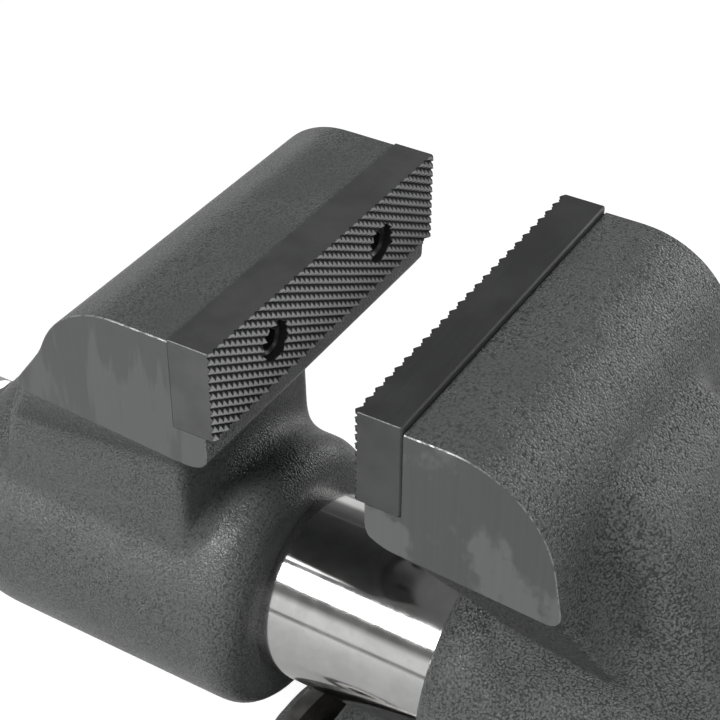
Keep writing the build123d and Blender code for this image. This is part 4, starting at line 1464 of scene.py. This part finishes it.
    def build(self) -> None:
        """Makes the insert and its screws, dresses them and hands them over."""
        lean = math.radians(self.lean)
        insert = cut(self.blank(), [self.comb(lean), self.comb(-lean)], solver=Solver.EXACT)
        cut(insert, [self.bores()])
        shade(insert, 12)
        dress(insert, [self.finish, self.teeth, self.oxide_and_shade], self.choose)
        moved(insert, self.place())
        enter(insert, f"{self.jaw}_insert_steel", self.body, Slot.INSERT, f"{self.jaw}_insert")
        enter_plain(moved(self.screws(), self.place()), SCREW_BLACK,
                    f"{self.jaw}_insert_screw_pair", self.body, Slot.SCREW,
                    f"{self.jaw}_insert_screws")


# Bar, spindle and handle


@dataclass
class SlideBar(Part):
    """The ground tube that carries the front jaw, with its keyway underneath.

    Attributes:
        bore: Radius of its bore.
        chamfer: Chamfer of its rear end.
        key_width: Width of the keyway.
        key_depth: Depth of the keyway.
        key_start: Where the keyway starts.
        dowel: Radius of the dowel's hole.
        dowel_start: Height from which it is cut.
    """

    bore: float = 25.0
    chamfer: float = 1.5
    key_width: float = 16.5
    key_depth: float = 5.25
    key_start: float = -73.0
    dowel: float = 4.0
    dowel_start: float = 60.0

    def build(self) -> None:
        """Makes the bar, dresses it and hands it over."""
        at = self.layout
        radius = at.bar_radius
        bar = turned([
            (at.bar_start, self.bore), (at.bar_start, radius), (at.bar_end - self.chamfer, radius),
            (at.bar_end, radius - self.chamfer), (at.bar_end, self.bore)], along_x(at.axis), 256)
        dowel = corners_of("bar_dowel")
        under = at.axis - radius
        cut(bar, [
            block((self.key_start, -self.key_width / 2, under - OPEN),
                  (at.bar_end + OPEN, self.key_width / 2, under + self.key_depth)),
            rod(self.dowel, self.dowel_start, dowel[1].z,
                at_point((dowel[0].x + dowel[1].x) / 2, 0, 0), 32),
        ])
        enter_plain(bar, BAR_GROUND, "slide_bar_ground", "moving", Slot.GROUND, "slide_bar")


@dataclass
class SpindleDrive(Part):
    """The spindle with its cross hole, and the thrust bearing under its head.

    Attributes:
        head_round: Rounding of the head's outer end.
        head_groove: Where the groove in the head starts, and its depth.
        chamfer: Chamfer of the head's seat, and of the far end.
        shank: Radius of the shank.
        cross_hole: Radius of the handle's hole.
        handle_angle: Angle of the handle below the horizontal, in degrees.
        ball: Radius of a bearing ball.
        ball_circle: Radius that the balls stand on.
        ball_count: How many balls there are.
        cage: Half the cage's thickness.
    """

    head_round: float = 6.0
    head_groove: Range = (9.0, 0.5)
    chamfer: Range = (2.0, 2.5)
    shank: float = 12.7
    cross_hole: float = 9.8
    handle_angle: float = 35.0
    ball: float = 1.98
    ball_circle: float = 17.0
    ball_count: int = 20
    cage: float = 0.7

    def handle_place(self) -> Matrix:
        """A place whose Z axis is the handle's, with zero on the spindle's axis."""
        middle = (self.layout.head_start + self.layout.thrust_face) / 2
        turn = Matrix.Rotation(math.radians(-90 - self.handle_angle), 4, "X")
        return at_point(middle, 0, self.layout.axis) @ turn

    def build_spindle(self) -> None:
        """Makes the spindle."""
        at = self.layout
        high = corners_of("spindle")[1]
        radius = high.y
        start, seat = at.head_start, at.thrust_face - OIL_FILM
        soft, away = self.head_round, self.head_groove[0]
        near, far = self.chamfer
        spindle = turned([
            (start, 0), *arc((start + soft, radius - soft), soft, 180, 90),
            *recess(start + away, radius, self.head_groove[1], 0.4), (seat - near, radius),
            (seat, radius - near), (seat, self.shank), (high.x - far, self.shank),
            (high.x, self.shank - far), (high.x, 0)], along_x(at.axis), 128)
        cut(spindle, [rod(self.cross_hole, -2 * radius, 2 * radius, self.handle_place())])
        enter_plain(spindle, STEEL_TURNED, "spindle_turned", "spindle", Slot.BRIGHT, "spindle")

    def build_bearing(self) -> None:
        """Makes the balls and their cage."""
        at = self.layout
        low, high = corners_of("thrust_bearing")
        middle = (low.x + high.x) / 2
        inner, outer = self.ball_circle - 3, self.ball_circle + 3.4
        front, back = middle - self.cage, middle + self.cage
        cage = turned([(front, inner), (front, outer), (back, outer), (back, inner)],
                      along_x(at.axis))
        bm = bmesh.new()
        bmesh.ops.create_uvsphere(bm, u_segments=20, v_segments=12, radius=self.ball * MM)
        ball = moved(mesh_object("ball", bm), at_point(middle, 0, at.axis + self.ball_circle))
        self.patterns.ring.apply(
            ball, STEEL_TURNED, Count=self.ball_count, Turn=0.0, Axis=(1, 0, 0),
            Pivot=(0, 0, at.axis * MM))
        enter_plain(joined("bearing", [cage, ball]), STEEL_TURNED, "thrust_bearing_balls",
                    "moving", Slot.BRIGHT, "thrust_bearing")

    def build(self) -> None:
        """Makes the spindle and its thrust bearing."""
        self.build_spindle()
        for node in ("thrust_washer_inner", "thrust_washer_outer"):
            low, high = corners_of(node)
            ring = washer(low.x, high.x, high.y, self.shank + 0.3, along_x(self.layout.axis), 128)
            enter_plain(ring, STEEL_TURNED, node + "_ring", "moving", Slot.BRIGHT, node)
        self.build_bearing()


@dataclass
class Handle:
    """The sliding handle: its bar, two turned knobs and two rubber rings.

    Attributes:
        place: The handle's place, its Z axis along the bar.
        length: Length of the bar.
        radius: Radius of the bar.
        knob_radius: Radius of a knob.
        knob_length: Length of a knob.
        collar: How far a knob's collar stands out from the bar.
        socket: How far the bar reaches into a knob.
        ring_wall: How far a ring stands out from the bar.
        ring_width: Width of a ring.
    """

    place: Matrix
    length: float = 320.0
    radius: float = 9.5
    knob_radius: float = 14.0
    knob_length: float = 26.0
    collar: float = 2.0
    socket: float = 18.0
    ring_wall: float = 3.5
    ring_width: float = 4.0

    def knob(self, place: Matrix) -> Object:
        """A knob: a collar, a waist and a ball-like end."""
        start = self.length / 2 - self.socket
        end = start + self.knob_length
        big, rim = self.knob_radius, self.radius + self.collar
        waist = arc((end - big, 0), big, 150, 0, 18)
        profile = [(start, self.radius), (start, rim - 0.3), (start + 0.3, rim), (start + 4, rim),
                   (start + 4.4, rim - 0.6)]
        profile += [point for point in waist if point[0] > start + 4.5 and point[1] > ON_AXIS]
        profile += [(end, 0), (self.length / 2, 0), (self.length / 2, self.radius)]
        return turned(profile, place)

    def ring(self, place: Matrix) -> Object:
        """A rubber ring with a rounded back."""
        outer = self.length / 2 - self.socket
        soft = self.ring_width / 2
        top = self.radius + self.ring_wall
        return turned([(outer, self.radius), *arc((outer - soft, top - soft), soft, 0, 180, 12),
                       (outer - self.ring_width, self.radius)], place)

    def build(self) -> None:
        """Makes the handle's pieces."""
        half = self.length / 2
        bar = rod(self.radius, -half, half, self.place)
        enter_plain(bar, STEEL_HANDLE, "handle_bar_turned", "handle", Slot.BRIGHT, "handle_bar")
        for end, turn in (("far", 0), ("near", math.pi)):
            place = self.place @ Matrix.Rotation(turn, 4, "X")
            knob, ring = f"handle_knob_{end}", f"handle_ring_{end}"
            enter_plain(self.knob(place), STEEL_HANDLE, knob + "_turned", "handle", Slot.BRIGHT,
                        knob)
            enter_plain(self.ring(place), RUBBER_BLACK, ring + "_rubber", "handle", Slot.RUBBER,
                        ring)


# Lock levers and end cap


@dataclass
class LockLever(Part):
    """A lock lever on its T-head bolt.

    Attributes:
        name: "near" or "far", as in the nodes' names.
        side: -1 for near and 1 for far.
        hub_radius: Radius of the hub.
        hub_groove: Height of the groove in the hub over its foot, and its depth.
        bolt: Radius of the bolt.
        head: Height of the bolt's T head.
        thread: Pitch of the bolt's thread.
        thread_depth: Depth of the thread.
        rod: Radius of the lever's rod.
        rod_start: Where the rod starts, out from the bolt's axis.
        rod_length: Length of the rod.
        rod_height: Height of its axis in the hub, as a share of the hub's height.
        rise: Angle of the rod above the horizontal, in degrees.
        turn: Angle of the rod from straight out, in degrees.
        ball: Radius of the ball on its end.
    """

    name: str
    side: int
    hub_radius: float = 14.0
    hub_groove: Range = (3.5, 0.6)
    bolt: float = 6.0
    head: float = 9.0
    thread: float = 1.75
    thread_depth: float = 0.8
    rod: float = 5.0
    rod_start: float = 8.0
    rod_length: float = 88.0
    rod_height: float = 0.55
    rise: float = 12.0
    turn: float = 35.0
    ball: float = 9.0

    def corners(self, part: str) -> tuple[Vector, Vector]:
        """The lowest and the highest corner of a part of this side."""
        return corners_of(f"lock_{part}_{self.name}")

    def centre(self, height: float = 0.0) -> Matrix:
        """The bolt's place, at a height."""
        return at_point(0, self.side * self.layout.lock_circle, height)

    def lever_place(self) -> Matrix:
        """A place whose Z axis runs out along the rod from the bolt's axis."""
        low, high = self.corners("hub")
        swing = Matrix.Rotation(math.radians(self.side * (90 - self.turn)), 4, "Z")
        tilt = Matrix.Rotation(math.radians(90 - self.rise), 4, "Y")
        return self.centre(low.z + (high.z - low.z) * self.rod_height) @ swing @ tilt

    def make_hub(self) -> Object:
        """The hub: turned, with a crowned top and a groove, bored for bolt and rod."""
        low, high = self.corners("hub")
        radius, soft = self.hub_radius, self.hub_radius / 4
        inner = self.bolt + 0.05
        foot = low.z + OIL_FILM
        away, depth = self.hub_groove
        hub = turned([
            (foot, inner), (foot, radius - 0.5), (foot + 0.5, radius),
            *recess(low.z + away, radius, depth, 0.5),
            *arc((high.z - soft, radius - soft), soft, 90, 0), (high.z, inner + 0.6),
            (high.z - 0.6, inner)], self.centre())
        return cut(hub, [rod(self.rod, self.rod_start, 40, self.lever_place(), 64)])

    def make_rod(self) -> Object:
        """The rod."""
        end = self.rod_start + self.rod_length
        return rod(self.rod, self.rod_start, end, self.lever_place(), 64)

    def make_knob(self) -> Object:
        """The ball on the rod's end."""
        end = self.rod_start + self.rod_length
        middle = end - self.ball / 2
        start = math.degrees(math.atan2(self.rod, -math.sqrt(self.ball ** 2 - self.rod ** 2)))
        face = [point for point in arc((middle, 0), self.ball, start, 0, 24) if point[1] > ON_AXIS]
        return turned([*face, (middle + self.ball, 0), (end, 0), (end, self.rod)],
                      self.lever_place(), 64)

    def make_bolt(self) -> Object:
        """The bolt with the turns of thread that show."""
        low, high = self.corners("bolt")
        head_top = low.z + self.head
        height = self.corners("hub")[1].z - 2
        profile = [(head_top - 2, 0), (head_top - 2, self.bolt), (height, self.bolt)]
        while height + self.thread < high.z - 1:
            profile += [(height + self.thread * 0.5, self.bolt - self.thread_depth),
                        (height + self.thread, self.bolt)]
            height += self.thread
        profile += [(high.z, self.bolt - 1), (high.z, 0)]
        head = block(tuple(low), (high.x, high.y, head_top))
        return cut(head, [turned(profile, self.centre(), 64)], Change.ADD)

    def make_washer(self) -> Object:
        """The washer that the hub turns on."""
        low, high = self.corners("washer")
        return washer(low.z, high.z, high.x, self.bolt + 0.3, self.centre())

    def build(self) -> None:
        """Makes the lever and its bolt."""
        lever = {"hub": self.make_hub, "rod": self.make_rod, "knob": self.make_knob}
        seat = {"bolt": self.make_bolt, "washer": self.make_washer}
        for body, parts in (("lock_" + self.name, lever), ("fixed", seat)):
            for part, make in parts.items():
                node = f"lock_{part}_{self.name}"
                enter_plain(make(), STEEL_ZINC, node + "_zinc", body, Slot.ZINC, node)


@dataclass
class EndCap(Part):
    """The domed sheet cap in the closed end of the barrel.

    Attributes:
        wall: Thickness of the sheet.
        rise: Height of the dome.
    """

    wall: float = 1.6
    rise: float = 15.0

    def dome(self, radius: float, rise: float) -> Outline:
        """A dome's profile from its rim to just before its crown."""
        ball = (radius ** 2 + rise ** 2) / (2 * rise)
        centre = self.layout.barrel_end + rise - ball
        start = math.degrees(math.asin(radius / ball))
        return [point for point in arc((centre, 0), ball, start, 0, 20) if point[1] > ON_AXIS]

    def build(self) -> None:
        """Makes the cap, dresses it and hands it over."""
        low, high = corners_of("rear_cap")
        radius, wall = high.y, self.wall
        cap = turned([
            (low.x, radius - wall), (low.x, radius), *self.dome(radius, self.rise), (high.x, 0),
            (high.x - wall, 0), *reversed(self.dome(radius - wall, self.rise - wall))],
            along_x(self.layout.axis), 128)
        enter_plain(cap, ENAMEL_MILLED, "rear_cap_sheet", "fixed", Slot.MILLED, "rear_cap")


# Studio


class Studio:
    """The camera, the floor, the lamps and the surroundings.

    Attributes:
        EYE: Where the camera stands, in metres.
        AZIMUTH, ELEVATION, ROLL: How it is turned, in degrees.
        LENS: Its focal length on a sensor of the width SENSOR, in millimetres.
        AMBIENT: How bright the surroundings shine on matte faces.
        RAMP: Brightness that metal mirrors, by the share of the way from straight down to up.
        FLOOR: Grey of the floor.
        FLOOR_GLOW: How much of its brightness the camera sees without light.
        FLOOR_SHEEN: How much of it metal mirrors so.
    """

    EYE = (0.1514, -0.3650, 0.5439)
    AZIMUTH = 30.71
    ELEVATION = 37.03
    ROLL = 0.28
    LENS = 85.95
    SENSOR = 36.0
    AMBIENT = 0.13
    RAMP = ((0.0, 0.95), (1.0, 0.18), (0.22, 0.9), (0.34, 0.20), (0.6, 0.08))
    FLOOR = 0.55
    FLOOR_GLOW = 0.75
    FLOOR_SHEEN = 0.2

    def place(self, name: str, data: bpy.types.ID) -> Object:
        """Puts a camera or a lamp into the scene."""
        obj = bpy.data.objects.new(name, data)
        bpy.context.scene.collection.objects.link(obj)
        return obj

    def camera(self) -> None:
        """Sets the camera where the photograph was taken from."""
        data = bpy.data.cameras.new("camera")
        data.lens, data.sensor_width = self.LENS, self.SENSOR
        data.clip_start, data.clip_end = 0.01, 50
        turn = Matrix.Rotation(math.radians(self.AZIMUTH), 4, "Z")
        tilt = Matrix.Rotation(math.radians(90 - self.ELEVATION), 4, "X")
        roll = Matrix.Rotation(math.radians(self.ROLL), 4, "Z")
        camera = self.place("camera", data)
        camera.matrix_world = Matrix.Translation(self.EYE) @ turn @ tilt @ roll
        bpy.context.scene.camera = camera

    def lamp(self, name: str, place: Point, target: Point, size: float, power: float) -> None:
        """Adds a square area lamp aimed at a point.

        Args:
            name: Its name.
            place: Where it stands.
            target: What it is aimed at.
            size: Its side.
            power: Its power in watts.
        """
        data = bpy.data.lights.new(name, "AREA")
        data.size, data.energy = size, power
        lamp = self.place(name, data)
        lamp.location = place
        lamp.rotation_mode = "QUATERNION"
        lamp.rotation_quaternion = (Vector(target) - Vector(place)).to_track_quat("-Z", "Y")

    def surroundings(self) -> None:
        """White to the camera, and to the vise a room that is bright below and dark above."""
        world = bpy.data.worlds.new("surroundings")
        world.use_nodes = True
        bpy.context.scene.world = world
        tree = NodeTree(world.node_tree)
        white = (1, 1, 1, 1)
        backdrop = tree.nodes["Background"]
        tree.put(backdrop.inputs["Color"], white)
        where = tree.add("ShaderNodeTexCoord").outputs["Generated"]
        up = tree.add("ShaderNodeSeparateXYZ", {0: where}).outputs["Z"]
        rise = tree.add("ShaderNodeValToRGB", {"Fac": up})
        steps = rise.color_ramp.elements
        for step, (spot, tone) in zip(steps, self.RAMP):
            step.position, step.color = spot, (tone, tone, tone, 1)
        for spot, tone in self.RAMP[len(steps):]:
            steps.new(spot).color = (tone, tone, tone, 1)
        room = tree.add("ShaderNodeBackground", {"Color": rise.outputs["Color"]})
        dim = tree.add("ShaderNodeBackground", {"Color": white, "Strength": self.AMBIENT})
        path = tree.add("ShaderNodeLightPath").outputs
        lit = tree.add("ShaderNodeMixShader", {
            "Fac": path["Is Glossy Ray"], 1: dim.outputs[0], 2: room.outputs[0]})
        seen = tree.add("ShaderNodeMixShader", {
            "Fac": path["Is Camera Ray"], 1: lit.outputs[0], 2: backdrop.outputs[0]})
        tree.put(tree.nodes["World Output"].inputs["Surface"], seen.outputs[0])

    def floor(self) -> None:
        """Lays a pale floor that the camera and metal see as white, with the vise's shadow."""
        bm = bmesh.new()
        bmesh.ops.create_grid(bm, x_segments=1, y_segments=1, size=6)
        floor = mesh_object("floor", bm)
        shader = Shader("floor")
        grain = shader.bump(shader.noise(shader.scaled(4)), 0.01)
        shader.finish((self.FLOOR, self.FLOOR, self.FLOOR, 1), 0.9, grain)
        path = shader.add("ShaderNodeLightPath").outputs
        sheen = shader.calc("MULTIPLY", path["Is Glossy Ray"], self.FLOOR_SHEEN)
        glow = shader.calc("MULTIPLY_ADD", path["Is Camera Ray"], self.FLOOR_GLOW, sheen)
        shader.put(shader.surface.inputs["Emission Color"], (1, 1, 1, 1))
        shader.put(shader.surface.inputs["Emission Strength"], glow)
        floor.data.materials.append(shader.material)

    def build(self) -> None:
        """Builds the studio."""
        self.camera()
        self.surroundings()
        self.lamp("key", (-0.60, -1.15, 1.15), (-0.03, 0, 0.2), size=0.5, power=16.5)
        self.lamp("side", (1.35, -0.25, 0.98), (-0.05, 0, 0.24), size=0.8, power=9)
        self.lamp("back", (0.35, 1.45, 0.42), (0, 0, 0.2), size=0.7, power=5)
        self.lamp("strip", (-0.80, -1.20, 0.37), (-0.1, 0, 0.15), size=0.15, power=1.5)
        self.floor()


def dress_nodes(frame: dict) -> None:
    """Gives every CAD node the finish of its slot.

    Args:
        frame: The loaded frame.
    """
    slots = {part["node"]: Slot(part["material_slot"]) for part in frame["record"]["subparts"]}
    for node, obj in frame["nodes"].items():
        finish = FELT_DARK if node == "bar_wiper" else SLOT_FINISH[slots[node]]
        dress(obj, [finish])


def main() -> None:
    """Builds the vise's looks."""
    bpy.context.scene.view_settings.view_transform = "Standard"
    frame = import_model()
    layout = Layout.read()
    patterns = Patterns()
    dress_nodes(frame)
    drive = SpindleDrive(layout, patterns)
    parts = [
        FrontJaw(layout, patterns),
        RearJaw(layout, patterns),
        SwivelBase(layout, patterns),
        JawInsert(layout, patterns, "front", "moving", layout.front_grip, layout.front_seat,
                  edge=0.15),
        JawInsert(layout, patterns, "rear", "fixed", layout.rear_grip, layout.rear_seat,
                  finish=INSERT_DARK, teeth=TEETH_REAR),
        SlideBar(layout, patterns),
        drive,
        Handle(drive.handle_place()),
        LockLever(layout, patterns, "near", -1),
        LockLever(layout, patterns, "far", 1),
        EndCap(layout, patterns),
        Studio(),
    ]
    for part in parts:
        part.build()


if __name__ == "__main__":
    logging.basicConfig(level=logging.INFO, format="%(name)s: %(message)s")
    main()
